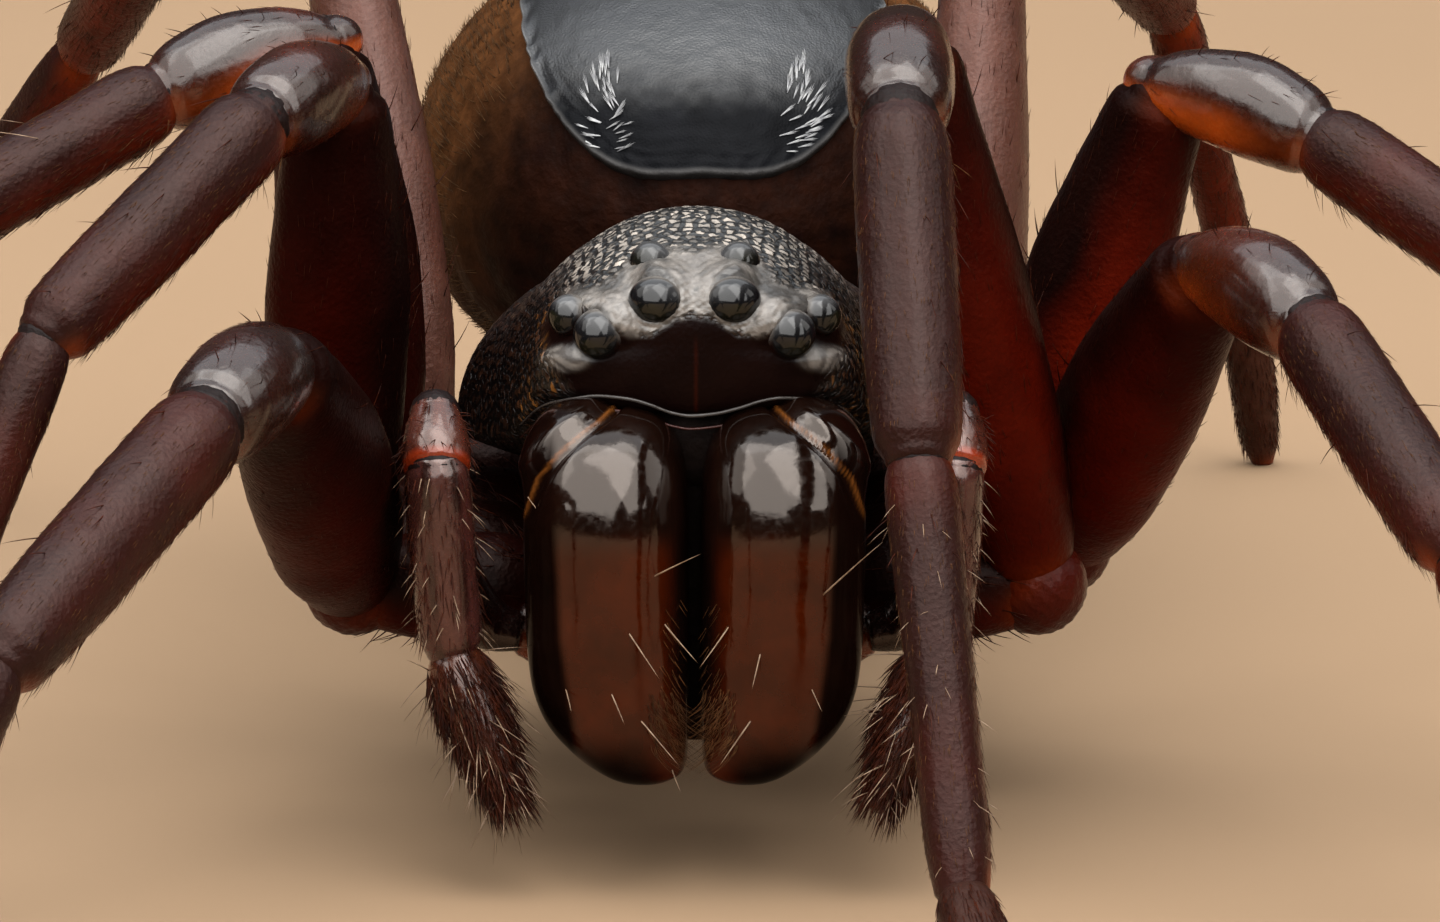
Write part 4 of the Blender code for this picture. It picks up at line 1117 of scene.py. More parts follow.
def make_abdomen():
    rows = 170
    columns = 220
    polar = np.linspace(0.012, 0.988, rows) * np.pi
    turn = turns(columns)
    ways = np.stack([np.sin(polar)[:, None] * np.cos(turn)[None],
                     -np.cos(polar)[:, None] * np.ones(columns)[None],
                     np.sin(polar)[:, None] * np.sin(turn)[None]], -1)
    points = ABDOMEN_CENTRE + ways * ABDOMEN_SEMI
    normal = units((points - ABDOMEN_CENTRE) / ABDOMEN_SEMI ** 2)
    lower = smoothstep(0.5, -0.4, ways[..., 2])
    folds = 0.020 * np.sin(points[..., 1] * 9 + 3 * noise(points, 0.9, 5)) * lower
    height = folds + 0.02 * layered(points, 1.4, 3) + 0.010 * layered(points, 7, 9)
    points = points + normal * height[..., None]
    front = smoothstep(-0.30, -0.80, ways[..., 1])
    tint = mix(FLANK, BELLY, smoothstep(0.1, -0.5, ways[..., 2]))
    tint = mix(tint, (0.0060, 0.0012, 0.0006), 0.95 * front)
    tint = tint * (1 + 0.35 * layered(points, 5, 11))[..., None]
    tint = np.clip(tint, 0.0008, 1)
    skin = Skin()
    skin.add_grid(points, tint)
    path = smooth_path(PEDICEL_ENDS, 24)
    waves = 0.25 + 0.02 * np.sin(np.linspace(0, 5 * math.pi, 24))
    skin.add_grid(tube(path, waves, 32), (0.02, 0.008, 0.004))
    made = skin.make("abdomen_skin", LOOKS["flank"])
    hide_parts("abdomen", "pedicel")
    # scutum
    rows = 190
    columns = 260
    turn = turns(columns)
    edge = scutum_edge(turn)
    pole = unit((0, (SCUTUM_MIDDLE_Y - ABDOMEN_CENTRE[1]) / ABDOMEN_SEMI[1], 0.96))
    spread = np.arccos(np.clip((edge * pole).sum(-1), -1, 1))
    share = np.concatenate([np.linspace(0.003, 0.90, rows - 60), np.linspace(0.90, 1.03, 61)[1:]])
    angle = share[:, None] * spread[None, :]
    ways = (np.sin(spread[None, :] - angle)[..., None] * pole + np.sin(angle)[..., None] * edge[None]) \
        / np.sin(spread)[None, :, None]
    ways = units(ways)
    s = share[:, None] * np.ones(columns)[None]
    lip = 0.03 * np.exp(-((s - 0.985) / 0.012) ** 2)
    drop = smoothstep(0.992, 1.03, s)
    base = ABDOMEN_CENTRE + ways * ABDOMEN_SEMI
    wave = layered(base, 9, 4)
    crease = smoothstep(0.90, 0.99, s) * 0.020 * np.sin(turn[None, :] * 46 + 5 * noise(base, 3, 1))
    fore = smoothstep(7.0, 6.0, base[..., 1]) * smoothstep(0.55, 0.85, s) * (1 - drop)
    ruffle = np.sin(s * 120 + 2.5 * noise(base, 4, 8)) * (0.5 + 0.5 * noise(base, 7, 2))
    raised = SCUTUM_RAISE + lip - 0.16 * drop + crease * (1 - drop) + 0.004 * wave + 0.004 * fore * ruffle
    points = ABDOMEN_CENTRE + ways * (ABDOMEN_SEMI + raised[..., None])
    tint = np.array((0.0045, 0.0047, 0.0056)) * np.ones(points.shape)
    tint = tint * (1 + 0.3 * layered(base, 4, 6))[..., None]
    tint = mix(np.clip(tint, 0.001, 1), (0.045, 0.043, 0.042), 0.7 * smoothstep(0.965, 0.985, s) * (1 - drop))
    skin = Skin()
    _, level = front_view(points)
    skin.add_grid(points, tint, 0.025 + 0.93 * smoothstep(5.30, 6.0, level + 0.05 * wave))
    plate = skin.make("scutum_plate", LOOKS["scutum"])
    x, y, z = SPINNERET_ROOT
    skin = Skin()
    base_path = smooth_path([(x, y - 0.22, z), (x, y + 0.1, z - 0.01), (x, y + 0.34, z - 0.05)], 20)
    skin.add_grid(tube(base_path, 0.46 - 0.10 * np.linspace(0, 1, 20) ** 2, 36), np.array(FLANK) * 0.8)
    for out, level, length, radius in SPINNERETS:
        for way in (-1, 1):
            start = np.array((x + out * way, y + 0.16, z + level - 0.02))
            aim = unit((0.16 * way, 1, 0.10 * level - 0.05))
            at = np.linspace(0, 1, 26)
            rings = radius * (1 - 0.5 * at ** 2.2) * (1 - 0.10 * np.exp(-((at - 0.62) / 0.05) ** 2))
            rings[-1] = radius * 0.25
            skin.add_grid(tube(start + aim * (at * length)[:, None], rings, 24),
                          mix((0.045, 0.022, 0.012), (0.09, 0.05, 0.028), at)[:, None, :]
                          * np.ones((1, 24, 1)))
    spin = skin.make("spinneret_skin", LOOKS["flank"])
    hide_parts("spinnerets")
    return plate


# Limbs

def limb_frames(joints, ventral_way):
    """Each segment's direction, side and upper side."""
    frames = []
    for here, there in zip(joints[:-1], joints[1:]):
        along = unit(np.asarray(there) - np.asarray(here))
        above = unit(-np.asarray(ventral_way) + along * np.dot(ventral_way, along))
        frames.append((along, np.cross(along, above), above))
    return frames


def leg_joints(name, number, way):
    joints = [mirrored(LEG_BASE[number], way)]
    lengths = LEG_LENGTHS[number]
    for (yaw, pitch), length in zip(POSE[name], lengths):
        joints.append(joints[-1] + heading(yaw, pitch) * length)
    slope = math.degrees(math.asin((joints[-1][2] - FLOOR) / lengths[4]))
    joints.append(joints[-1] + heading(POSE[name][3][0], -slope) * lengths[4])
    return joints


# A limb segment: its rings, each ring's share of the length, each column's turn, its frame,
# and the strip of the bake map that its hairs share
Grid = namedtuple("Grid", "points share turn frame strip")


def segment(start, end, frame, shape, stout, rows, columns, caps, strip=(0, 1), bow=0.0, seed=0,
            roundness=2.1):
    """A limb segment with rounded ends, which reach past it by the two caps."""
    along, side, above = frame
    length = np.linalg.norm(np.asarray(end) - np.asarray(start))
    cap = np.linspace(0.02, 1, CAP_RINGS)[:-1] * math.pi / 2
    body = np.linspace(0, 1, rows)
    share = np.concatenate([-np.cos(cap) * caps[0] / length, body, 1 + np.cos(cap[::-1]) * caps[1] / length])
    size = np.concatenate([np.sin(cap), np.ones(rows), np.sin(cap[::-1])])
    wide, deep = table_curves(shape, np.clip(share, 0, 1))
    wide = wide * stout * size
    deep = deep * stout * size
    turn = turns(columns)
    middle = (np.asarray(start) + along * (share * length)[:, None]
              + above * (bow * np.sin(np.clip(share, 0, 1) * math.pi))[:, None])
    points = (middle[:, None, :]
              + side * (signed_power(np.cos(turn), 2 / roundness)[None, :] * wide[:, None])[..., None]
              + above * (signed_power(np.sin(turn), 2 / roundness)[None, :] * deep[:, None])[..., None])
    out = units(points - middle[:, None, :] + 1e-9)
    points = points + out * (SHELL_RIPPLE * layered(points, 2.5, seed))[..., None] * size[:, None, None]
    return Grid(points, np.clip(share, 0, 1), turn, frame, strip)


def limb_tint(grid, dark, light, ends, end_width, under, seed, tip_dark=0.0):
    """Dark above, redder below, amber on the underside of the ends and darker towards the tip."""
    points, share = grid.points, grid.share
    height = np.sin(grid.turn)[None, :]
    below = np.clip(smoothstep(0.30, -0.85, height) * under + 0.25 * noise(points, 1.6, seed + 2), 0, 1)
    below = below * (1 - tip_dark * smoothstep(0.35, 0.9, share))[:, None]
    tint = mix(dark, light, below)
    start_cap = smoothstep(0.0, 0.06, share) if end_width[0] > 0.2 else 1.0
    near = (np.exp(-(share / end_width[0]) ** 2) * ends[0] * start_cap
            + np.exp(-((1 - share) / end_width[1]) ** 2) * ends[1])
    near = near[:, None] * smoothstep(0.45, -0.7, height)
    near = np.clip(near * (1 + 0.4 * noise(points, 3.5, seed)), 0, 1)
    return mix(tint, AMBER, near)


def membrane(joint, before, after, radius, seed, above_way):
    """A finely wrinkled cuff inside a joint, amber below and dark above, and its colours."""
    along = unit(np.asarray(before) + np.asarray(after))
    side = unit(np.cross(before, after) + 1e-6)
    above = np.cross(side, along)
    polar = np.linspace(0.04, 0.96, CUFF_RINGS) * math.pi
    turn = turns(CUFF_COLUMNS)
    crease = 1 + 0.014 * np.sin(polar * CUFF_WRINKLES)[:, None] + 0.012 * np.sin(turn * 13 + seed)[None, :]
    reach = np.sin(polar)[:, None] * crease * radius
    points = (joint + along * (-np.cos(polar) * radius)[:, None, None]
              + side * (np.cos(turn)[None, :] * reach)[..., None]
              + above * (np.sin(turn)[None, :] * reach)[..., None])
    inside = unit(np.asarray(after) - np.asarray(before) - np.asarray(above_way) * 0.25)
    lower = ((points - joint) * inside).sum(-1) / radius
    ventral = smoothstep(0.05, 0.70, lower + 0.2 * noise(points, 5, seed))
    wrinkle = (0.5 + 0.5 * np.sin(polar * CUFF_WRINKLES))[:, None] * np.ones(CUFF_COLUMNS)
    return points, mix(FEMUR_DARK, mix(AMBER, (0.045, 0.008, 0.002), wrinkle * 0.6), ventral)


def hairs_on(coat, grid, count, length, radius, lean, spread=0.25, share_from=0.04, share_to=0.97,
             bend=0.12, steps=3, around=None):
    """Scatter hairs over a segment, leaning along it by lean (0 stands out, 1 lies flat)."""
    points = grid.points
    rows, columns = points.shape[:2]
    body = np.where((grid.share >= share_from) & (grid.share <= share_to))[0]
    row = RANDOM.uniform(body[0], body[-1], count)
    if around is None:
        col = RANDOM.uniform(0, columns, count)
    else:
        angle = around[0] + (around[1] - around[0]) * RANDOM.random(count)
        col = (angle / (2 * math.pi) * columns) % columns
    r0 = row.astype(int)
    r1 = np.minimum(r0 + 1, rows - 1)
    c0 = col.astype(int) % columns
    c1 = (c0 + 1) % columns
    fr = (row - r0)[:, None]
    fc = (col - np.floor(col))[:, None]
    roots = ((points[r0, c0] * (1 - fc) + points[r0, c1] * fc) * (1 - fr)
             + (points[r1, c0] * (1 - fc) + points[r1, c1] * fc) * fr)
    out = units(grid_normals(points)[r0, c0])
    along = grid.frame[0][None, :] * np.ones((count, 1))
    scatter = RANDOM.normal(0, spread, (count, 3)) * (0.35 + 0.65 * (1 - lean))
    way = units(out * (1 - lean) + along * lean + scatter)
    lift = (way * out).sum(-1)
    way = units(way + out * np.maximum(0.10 - lift, 0)[:, None])
    bends = units(along - out * 0.3) * bend
    sizes = length * RANDOM.uniform(0.65, 1.25, count)
    thick = radius * RANDOM.uniform(0.8, 1.2, count)
    low, high = grid.strip
    place = low + (high - low) * (row / rows)
    coat.add(roots, way, bends, sizes, thick, np.stack([col / columns, place], -1), steps=steps)


def claws_at(tip, along, above, side):
    """Two small hooked claws at a foot's end."""
    skin = Skin()
    at = np.linspace(0, 1, 14)[:, None]
    for way in (-1, 1):
        path = (tip + side * (0.035 * way) + along * (0.16 * at) + above * (0.07 * np.sin(at * math.pi * 0.8))
                - above * 0.10 * at ** 2)
        path[:, 2] = np.maximum(path[:, 2], FLOOR + 0.02)
        radii = 0.028 * (1 - at[:, 0] ** 1.5) + 0.003
        skin.add_grid(tube(path, radii, 8), CLAW)
    return skin


def make_leg(name, number, way):
    joints = leg_joints(name, number, way)
    stout = LEG_STOUTNESS[number]
    thigh = FEMUR_STOUTNESS[number]
    frames = limb_frames(joints, unit(joints[3] - joints[2]) - unit(joints[1] - joints[0]))
    femur_way, patella_way, tibia_way, shin_way, foot_way = [frame[0] for frame in frames]
    inner = mirrored(COXA_INNER[number], way)
    coxa_way = unit(joints[0] - inner)
    side = unit(np.cross(coxa_way, (0, 0, 1)))
    skin, shine, soft = Skin(), Skin(), Skin()
    hair, glint, long_pale = Coat(), Coat(), Coat()
    seed = number * 7 + (3 if way > 0 else 0)
    hind = number == 4
    sheen = 0.15 if hind else 0.5
    thigh_red = np.array(FEMUR_RED) * THIGH_REDNESS.get(name, 1.0)
    amber_under = AMBER_UNDER[number]
    under_side = (math.pi, 2 * math.pi)

    grid = segment(inner, joints[0] - coxa_way * 0.10, (coxa_way, side, np.cross(side, coxa_way)),
                   COXA_SHAPE, COXA_STOUTNESS, 40, 44, (0.2, 0.16), (0.01, 0.10), seed=seed)
    skin.add_grid(grid.points, limb_tint(grid, FEMUR_DARK, FEMUR_RED, (0.1, 0.35), (0.1, 0.08), 0.8, seed),
                  0.15)
    hairs_on(hair, grid, 120, 0.20, 0.006, 0.55)

    # trochanter: a short ring between coxa and femur
    points, tint = membrane(joints[0], coxa_way, femur_way, 0.37 * thigh, seed, frames[0][2])
    skin.add_grid(points, mix(tint, FEMUR_RED, 0.85 * np.ones(points.shape[:2])), 0.4)

    grid = segment(joints[0] + femur_way * 0.08, joints[1] - femur_way * 0.06, frames[0], FEMUR_SHAPE, thigh,
                   90, 52, (0.20, 0.14), (0.12, 0.36), bow=0.05, seed=seed + 1, roundness=2.0)
    # the hind femora take a lighter brown that is partly a painted sheen
    tint = limb_tint(grid, HIND_FEMUR if hind else FEMUR_DARK, thigh_red, (0.15, 0.10), (0.05, 0.03), 1.1,
                     seed + 1, 0.75)
    skin.add_grid(grid.points, tint, 0.80 if hind else 0.08)
    hairs_on(hair, grid, 240, 0.11, 0.003, 0.84)
    hairs_on(hair, grid, 10, 0.26, 0.006, 0.60, around=(0.3, 2.8))

    soft.add_grid(*membrane(joints[1], femur_way, patella_way, 0.27 * stout, seed + 2, frames[1][2]))
    grid = segment(joints[1] - patella_way * 0.09, joints[2] - patella_way * 0.02, frames[1], PATELLA_SHAPE,
                   stout, 66, 48, (0.26, 0.14), (0.38, 0.48), bow=0.07, seed=seed + 3)
    tint = limb_tint(grid, PATELLA_RED, np.array(AMBER) * amber_under, (0.75 * amber_under, 0.30),
                     (0.34, 0.05), amber_under, seed + 3, 0.8)
    shine.add_grid(grid.points, tint)
    hairs_on(hair, grid, 60, 0.10, 0.003, 0.82)
    hairs_on(hair, grid, 9, 0.13, 0.005, 0.35, around=(0.6, 2.5))

    soft.add_grid(*membrane(joints[2], patella_way, tibia_way, 0.285 * stout, seed + 4, frames[1][2]))
    grid = segment(joints[2] - tibia_way * 0.02, joints[3] - tibia_way * 0.02, frames[2], TIBIA_SHAPE, stout,
                   74, 48, (0.18, 0.14), (0.50, 0.68), seed=seed + 5)
    tint = limb_tint(grid, SHIN_DARK, SHIN_BROWN, (0.30, 0.45), (0.04, 0.05), 1.0, seed + 5)
    skin.add_grid(grid.points, tint, sheen)
    hairs_on(hair, grid, 420, 0.15, 0.0028, 0.84, spread=0.12, around=under_side)
    hairs_on(glint, grid, 800, 0.055, 0.0024, 0.84, spread=0.10)
    hairs_on(hair, grid, 16, 0.26, 0.0050, 0.60)
    hairs_on(glint, grid, 26, 0.20, 0.0036, 0.62, share_to=0.20, around=(math.pi * 1.1, math.pi * 1.9))
    if name == "right_3":
        hairs_on(long_pale, grid, 9, 0.62, 0.0050, 0.45, share_from=0.4, around=(0.6, 2.4), steps=7)

    soft.add_grid(*membrane(joints[3], tibia_way, shin_way, 0.225 * stout, seed + 6, frames[2][2]))
    grid = segment(joints[3] - shin_way * 0.02, joints[4] - shin_way * 0.02, frames[3], METATARSUS_SHAPE,
                   stout, 74, 40, (0.14, 0.10), (0.70, 0.86), seed=seed + 7)
    tint = limb_tint(grid, SHIN_DARK, SHIN_BROWN, (0.35, 0.5), (0.05, 0.05), 1.0, seed + 7)
    skin.add_grid(grid.points, tint, sheen)
    hairs_on(hair, grid, 420, 0.14, 0.0027, 0.84, spread=0.12, around=under_side)
    hairs_on(glint, grid, 640, 0.055, 0.0023, 0.84, spread=0.10)
    hairs_on(hair, grid, 18, 0.24, 0.0050, 0.60)
    if name == "left_1":
        hairs_on(long_pale, grid, 40, 0.17, 0.0042, 0.40, spread=0.2)

    grid = segment(joints[4] + foot_way * 0.02, joints[5], frames[4], TARSUS_SHAPE, stout, 60, 36,
                   (0.08, 0.04), (0.88, 0.99), seed=seed + 8)
    grid.points[..., 2] = np.maximum(grid.points[..., 2], FLOOR)
    tint = limb_tint(grid, FOOT_DARK, FOOT_BROWN, (0.3, 0.3), (0.06, 0.08), 0.7, seed + 8)
    skin.add_grid(grid.points, tint, 0.2)
    hairs_on(hair, grid, 800, 0.13, 0.0038, 0.84, spread=0.16, share_to=0.90)
    claws = claws_at(joints[5] + np.array((0, 0, 0.05)), unit(foot_way * (1, 1, 0)), np.array((0, 0, 1.0)),
                     frames[4][1])

    main = skin.make("leg_skin_" + name, LOOKS["leg"])
    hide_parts("coxa_" + name, "femur_" + name, "tarsus_" + name)
    cap = shine.make("knee_skin_" + name, LOOKS["patella"])
    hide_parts("tibia_" + name)
    cuffs = soft.make("joint_cuffs_" + name, LOOKS["membrane"])
    hooks = claws.make("claws_" + name, LOOKS["horn"])
    coat = hair.make("leg_hair_" + name, LOOKS["red_hair"])
    light = glint.make("leg_glint_" + name, LOOKS["bronze_hair"])
    if long_pale.count:
        pale = long_pale.make("leg_pale_hair_" + name, LOOKS["pale_hair"])


def striped(grid, tint, seed):
    """The tint with dark lengthwise stripes of uneven strength."""
    lines = smoothstep(0.1, 0.7, np.sin(grid.turn * 7 + seed))[None, :]
    return mix(tint, FEMUR_DARK, 0.8 * (lines * smoothstep(-0.4, 0.4, noise(grid.points, 4, seed))))


def make_palp(side, way):
    skin, soft = Skin(), Skin()
    hair, pale = Coat(), Coat()
    inner, outer = [mirrored(p, way) for p in PALP_COXA]
    along = unit(outer - inner)
    over = unit(np.cross(along, (0, 0, 1)))
    grid = segment(inner, outer, (along, over, np.cross(over, along)), PALP_COXA_SHAPE, 1, 36, 36,
                   (0.1, 0.12), seed=1)
    skin.add_grid(grid.points, limb_tint(grid, FEMUR_DARK, FEMUR_RED, (0.3, 0.4), (0.1, 0.1), 0.8, 1))
    joints = [mirrored(p, way) for p in PALP_JOINTS]
    frames = limb_frames(joints, (0, 0.3, -1))
    bow = mirrored(PALP_FEMUR_BOW, way)
    path = smooth_path([joints[0] - along * 0.2, joints[0], bow, joints[1]], 60)
    radii = np.interp(np.linspace(0, 1, 60), *zip(*PALP_FEMUR_RADII))
    skin.add_grid(tube(path, radii, 32, up=(0, 1, 0.1)), np.array(FEMUR_DARK) * 1.3)
    soft.add_grid(*membrane(joints[1], unit(joints[1] - bow), frames[1][0], 0.19, 3, frames[1][2]))
    grid = segment(joints[1], joints[2], frames[1], PALP_PATELLA_SHAPE, 1, 34, 40, (0.14, 0.10), (0.30, 0.38),
                   seed=4)
    tint = limb_tint(grid, (0.040, 0.010, 0.006), PATELLA_RED, (0.1, 0.0), (0.2, 0.16), 0.8, 4)
    band = smoothstep(0.80, 0.93, grid.share)[:, None] * np.ones(len(grid.turn))
    skin.add_grid(grid.points, mix(striped(grid, tint, 5), PALP_BAND, band * 0.85))
    hairs_on(hair, grid, 70, 0.14, 0.005, 0.50)
    soft.add_grid(*membrane(joints[2], frames[1][0], frames[2][0], 0.225, 5, (0, 0, 1.0)))
    grid = segment(joints[2] - frames[2][0] * 0.09, joints[3], frames[2], PALP_TIBIA_SHAPE, 1, 56, 40,
                   (0.08, 0.09), (0.40, 0.62), seed=6)
    tint = limb_tint(grid, (0.034, 0.010, 0.008), (0.045, 0.008, 0.003), (0.6, 0.5), (0.06, 0.06), 0.8, 6)
    skin.add_grid(grid.points, striped(grid, tint, 7))
    hairs_on(hair, grid, 260, 0.15, 0.0045, 0.72, spread=0.2)
    hairs_on(pale, grid, 46, 0.17, 0.0050, 0.45, spread=0.14)
    grid = segment(joints[3], joints[4], frames[3], PALP_TARSUS_SHAPE, 1, 60, 40, (0.09, 0.05),
                   (0.65, 0.98), seed=8)
    tint = limb_tint(grid, (0.030, 0.007, 0.003), (0.060, 0.010, 0.003), (0.3, 0.2), (0.06, 0.06), 0.8, 8)
    skin.add_grid(grid.points, striped(grid, tint, 9))
    hairs_on(hair, grid, 1100, 0.24, 0.0058, 0.72, spread=0.20, bend=0.20)
    hairs_on(pale, grid, 60, 0.36, 0.0060, 0.55, spread=0.3)
    hairs_on(pale, grid, 40, 0.34, 0.0060, 0.35, spread=0.3)
    main = skin.make("palp_skin_" + side, LOOKS["palp"])
    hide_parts("palp_coxa_" + side, "palp_femur_" + side, "palp_tibia_" + side, "palp_tarsus_" + side)
    cuffs = soft.make("palp_cuffs_" + side, LOOKS["membrane"])
    brush = hair.make("palp_brush_" + side, LOOKS["red_hair"])
    light = pale.make("palp_pale_hair_" + side, LOOKS["pale_hair"])


def front_spot(trees, u, v):
    """The foremost of several pieces' places under a place in the photograph."""
    found = [spot_at(tree, u, v) for tree in trees]
    found = [spot for spot in found if spot[0] is not None]
    return min(found, key=lambda spot: spot[0][1]) if found else (None, None)


def make_jaw_bristles(trees):
    """Pale bristles on the jaws' front and inner edges, from root to tip in the photograph."""
    marks = [((530, 500), (546, 521)), ((655, 576), (700, 553)), ((824, 594), (882, 540)),
             ((665, 625), (697, 664)), ((728, 628), (700, 669)), ((630, 635), (660, 680)),
             ((612, 695), (625, 725)), ((642, 722), (680, 767)), ((750, 722), (720, 765)),
             ((812, 690), (822, 712)), ((566, 690), (572, 712)), ((760, 655), (752, 690)),
             ((700, 760), (712, 798)), ((672, 770), (680, 792))]
    coat = Coat()
    for (u0, v0), (u1, v1) in marks:
        place, out = front_spot(trees, u0, v0)
        if place is None:
            continue
        start, way = photo_ray(u1, v1)
        tip = start + way * ((place[1] - 0.14 - start[1]) / way[1])
        reach = np.linalg.norm(tip - place)
        thick = 0.0045 + 0.006 * min(reach, 0.6)
        coat.add(place[None], unit(tip - place)[None], (out * 0.05)[None], reach, thick,
                 np.array([[0.5 + place[0] / 4, 0.5 + place[2] / 8]]), steps=6, sides=4, sunk=0.03)
    made = coat.make("jaw_bristles", LOOKS["pale_hair"])
    # fine curved hairs on the inner lower corners that sweep down and turn in to the middle
    brush = Coat()
    middle = np.array((693.0, 742.0))
    for k in range(300):
        low = RANDOM.random() < 0.78
        aside = RANDOM.uniform(10, 46) if low else RANDOM.uniform(12, 34)
        u = middle[0] + aside * (1 if k % 2 else -1)
        v = RANDOM.uniform(690, 752) if low else RANDOM.uniform(600, 700)
        place, _ = front_spot(trees, u, v)
        if place is None:
            continue
        inward = np.sign(middle[0] - u)
        way = unit(np.array((inward * (0.15 if low else 0.6), -0.35, -1.0)) + RANDOM.normal(0, 0.10, 3))
        bend = np.array((inward * 0.75, 0.05, 0.10)) if low else np.array((inward * 0.2, 0.1, -0.2))
        brush.add(place[None], way[None], bend[None], RANDOM.uniform(0.14, 0.30) if low else 0.09, 0.0028,
                  np.array([[0.5 + place[0] / 4, 0.5 + place[2] / 8]]), steps=6)
    inner = brush.make("jaw_brush", LOOKS["bronze_hair"])


# Each patch's place in the photograph, and the side that it fans to
SCUTUM_PATCHES = [(604, 112, -1), (800, 112, 1)]


def make_scutum_patches(tree):
    """Two patches of short white leaf-like hairs on the plate, upright above and fanned below."""
    coat = Coat()
    for u, v, outward in SCUTUM_PATCHES:
        for k in range(46):
            drop = -46 + 90 * (k + RANDOM.random()) / 46
            wide = 9 + 12 * smoothstep(-50, 0, drop)
            u0 = u + RANDOM.uniform(-1, 1) * wide
            v0 = v + drop
            place, out = spot_at(tree, u0, v0)
            turned = smoothstep(-34, 26, drop) * 1.35 + RANDOM.normal(0, 0.16)
            if outward < 0 and u0 > u and drop > 0:
                turned = -turned
            reach = RANDOM.uniform(11, 19)
            tip, _ = spot_at(tree, u0 + reach * math.sin(turned) * outward, v0 - reach * math.cos(turned))
            if place is None or tip is None:
                continue
            out = -out * np.sign(np.dot(out, VIEW_WAY))
            way = tip + out * 0.03 - place
            where = np.array([[0.5 + place[0] / 6, place[1] / 14]])
            side = unit(np.cross(way, out))
            for fan in (-0.08, 0.0, 0.08):
                blade = unit(unit(way) + side * fan)
                coat.add((place + out * 0.006)[None], blade[None], (out * 0.02)[None],
                         np.linalg.norm(way) * (1 - 2 * abs(fan)), 0.0050, where, steps=5, sunk=0.005)
    made = coat.make("scutum_white_hair", LOOKS["white_hair"])


def make_abdomen_hair():
    """Fine golden hairs that lie back along the flanks, belly and rear."""
    coat = Coat()
    n = 15000
    ways = units(RANDOM.normal(0, 1, (n, 3)))
    edge_x = np.abs(ways[:, 0] * ABDOMEN_SEMI[0])
    edge_y = ABDOMEN_CENTRE[1] + ways[:, 1] * ABDOMEN_SEMI[1]
    plate = (edge_x / SCUTUM_HALF[0]) ** 3 + np.abs((edge_y - SCUTUM_MIDDLE_Y) / SCUTUM_HALF[1]) ** 3 < 1.12
    bare_front = (ways[:, 1] < -0.62 + 0.2 * RANDOM.random(n)) & (ways[:, 2] < 0.75)
    keep = ~(plate & (ways[:, 2] > 0.1)) & ~bare_front
    ways = ways[keep]
    n = len(ways)
    roots = ABDOMEN_CENTRE + ways * (ABDOMEN_SEMI + 0.005)
    out = units(ways / ABDOMEN_SEMI)
    back = np.array((0, 1.0, 0.15)) + RANDOM.normal(0, 0.16, (n, 3))
    lie = units(back - out * (back * out).sum(-1)[:, None])
    aim = units(lie + out * RANDOM.uniform(0.16, 0.5, n)[:, None])
    place = np.stack([np.arctan2(ways[:, 2], ways[:, 0]) / (2 * math.pi) + 0.5,
                      np.arccos(-ways[:, 1]) / math.pi], -1)
    coat.add(roots, aim, lie * 0.10 - out * 0.04, RANDOM.uniform(0.10, 0.19, n), 0.0040, place, steps=3)
    made = coat.make("abdomen_hair", LOOKS["gold_hair"])


def floor_material():
    made, tree, shader = new_material("studio_floor")
    place = put(tree, "TexCoord").outputs["Object"]
    tone = put(tree, "TexNoise", {"Vector": place, "Scale": 60, "Detail": 2})
    fill(tree, shader, {"Base Color": ramp_between(tree, tone.outputs["Fac"], *FLOOR_COLOURS),
                        "Roughness": 0.85, "Specular IOR Level": 0.1})
    return made


def make_floor():
    mesh = bpy.data.meshes.new("studio_floor")
    half = 1.5
    corners = [(-half, -half, 0), (half, -half, 0), (half, half, 0), (-half, half, 0)]
    mesh.from_pydata(corners, [], [(0, 1, 2, 3)])
    made = bpy.data.objects.new("studio_floor", mesh)
    mesh.materials.append(floor_material())
    bpy.context.scene.collection.objects.link(made)


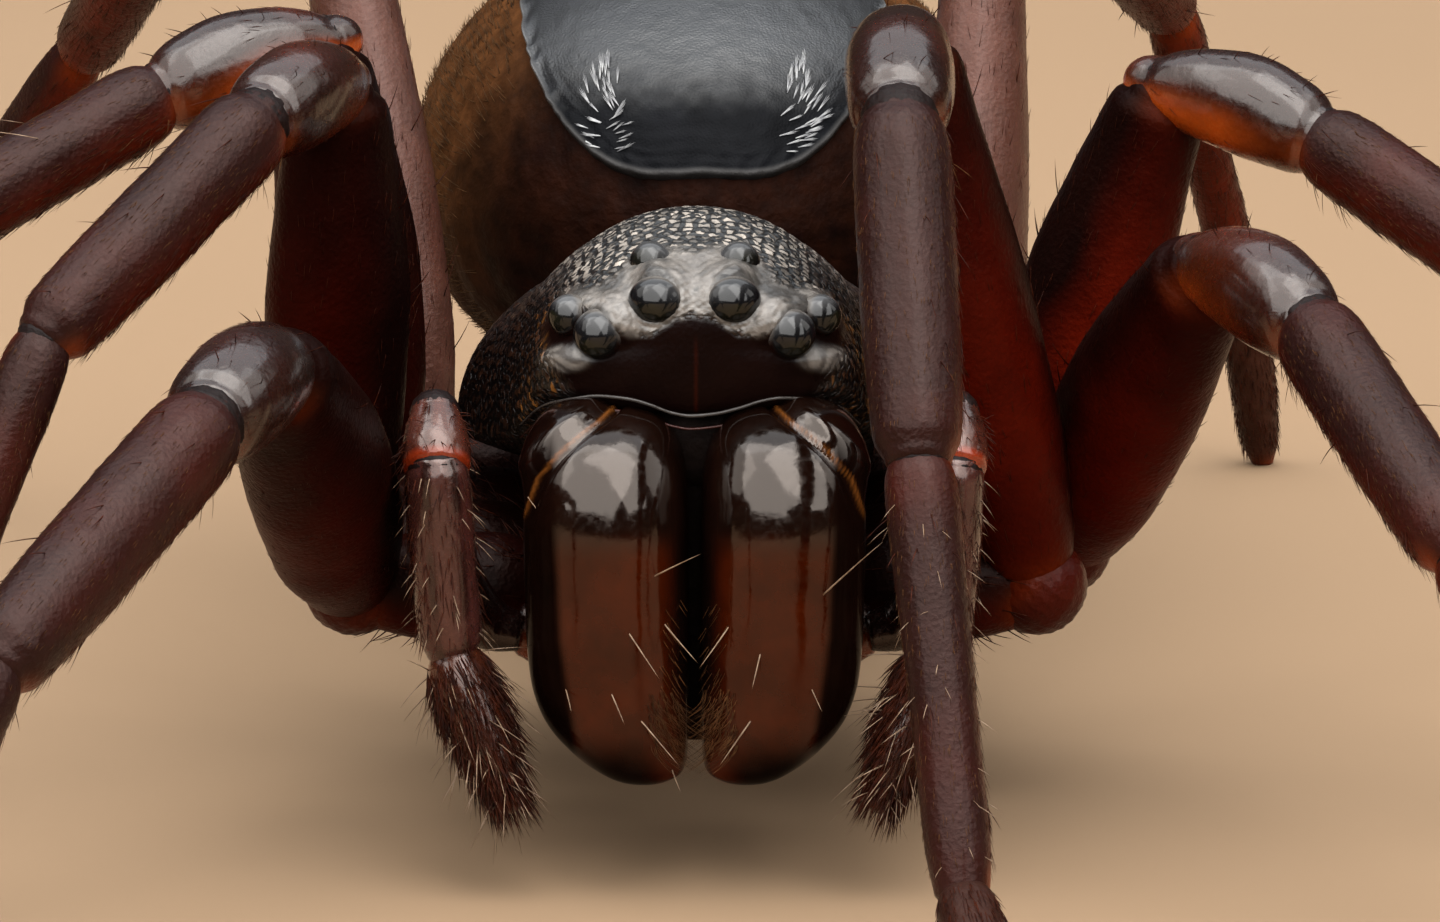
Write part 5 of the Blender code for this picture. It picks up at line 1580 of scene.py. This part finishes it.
def panel(name, azimuth, elevation, distance, width, height, radiance, colour):
    """A soft light panel that faces the spider's head. Azimuth 0 is in front, + to its left."""
    head = np.array((0.0, 0.0, 2.4))
    a = math.radians(azimuth)
    e = math.radians(elevation)
    out = np.array((math.sin(a) * math.cos(e), -math.cos(a) * math.cos(e), math.sin(e)))
    data = bpy.data.lights.new(name, "AREA")
    data.shape = "RECTANGLE"
    data.size = width
    data.size_y = height
    data.energy = radiance * math.pi * width * height
    data.color = colour
    made = bpy.data.objects.new(name, data)
    made.location = Vector(world(head) + out * distance)
    made.rotation_mode = "QUATERNION"
    made.rotation_quaternion = Vector(out).to_track_quat("Z", "Y")
    bpy.context.scene.collection.objects.link(made)


def make_lights():
    panel("sky_left", -24, 53, 0.15, 0.23, 0.27, 4.2, (1.0, 0.99, 0.97))
    panel("sky_right", 44, 53, 0.15, 0.12, 0.27, 4.2, (1.0, 0.99, 0.97))
    panel("overhead", 180, 66, 0.22, 0.34, 0.18, 1.7, (0.90, 0.95, 1.0))
    panel("side_left", -92, 40, 0.18, 0.12, 0.14, 1.8, (1.0, 0.97, 0.93))
    panel("side_right", 98, 40, 0.18, 0.12, 0.14, 1.8, (1.0, 0.97, 0.93))
    made = bpy.data.worlds.new("studio")
    bpy.context.scene.world = made
    made.use_nodes = True
    tree = made.node_tree
    parts = put(tree, "SeparateXYZ", {"Vector": put(tree, "TexCoord").outputs["Generated"]})
    sky = ramp_between(tree, parts.outputs["Z"], *SKY_COLOURS, last=0.7)
    fill(tree, tree.nodes["Background"], {"Color": sky, "Strength": 0.12})


def make_camera():
    data = bpy.data.cameras.new("camera")
    data.sensor_width = 36
    data.lens = LENS
    data.clip_start = 0.001
    data.clip_end = 10
    made = bpy.data.objects.new("camera", data)
    made.location = Vector(world(EYE_POINT))
    made.rotation_mode = "QUATERNION"
    made.rotation_quaternion = Vector(-VIEW_WAY).to_track_quat("Z", "Y")
    bpy.context.scene.collection.objects.link(made)
    bpy.context.scene.camera = made


def write_sizes():
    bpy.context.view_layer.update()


def main():
    carapace = make_carapace()
    carapace_tree = tree_of(carapace)
    make_eyes()
    make_clypeus_rim(carapace_tree)
    make_face_wall()
    jaws = [make_jaw(side, way) for side, way in (("left", 1), ("right", -1))]
    make_sternum()
    make_scutum_patches(tree_of(make_abdomen()))
    make_abdomen_hair()
    make_jaw_bristles([tree_of(jaw) for jaw in jaws])
    for side, way in (("left", 1), ("right", -1)):
        make_palp(side, way)
        for number in (1, 2, 3, 4):
            make_leg(side + "_" + str(number), number, way)
    make_floor()
    make_lights()
    make_camera()
    bpy.context.scene.view_settings.view_transform = "Standard"
    write_sizes()


main()
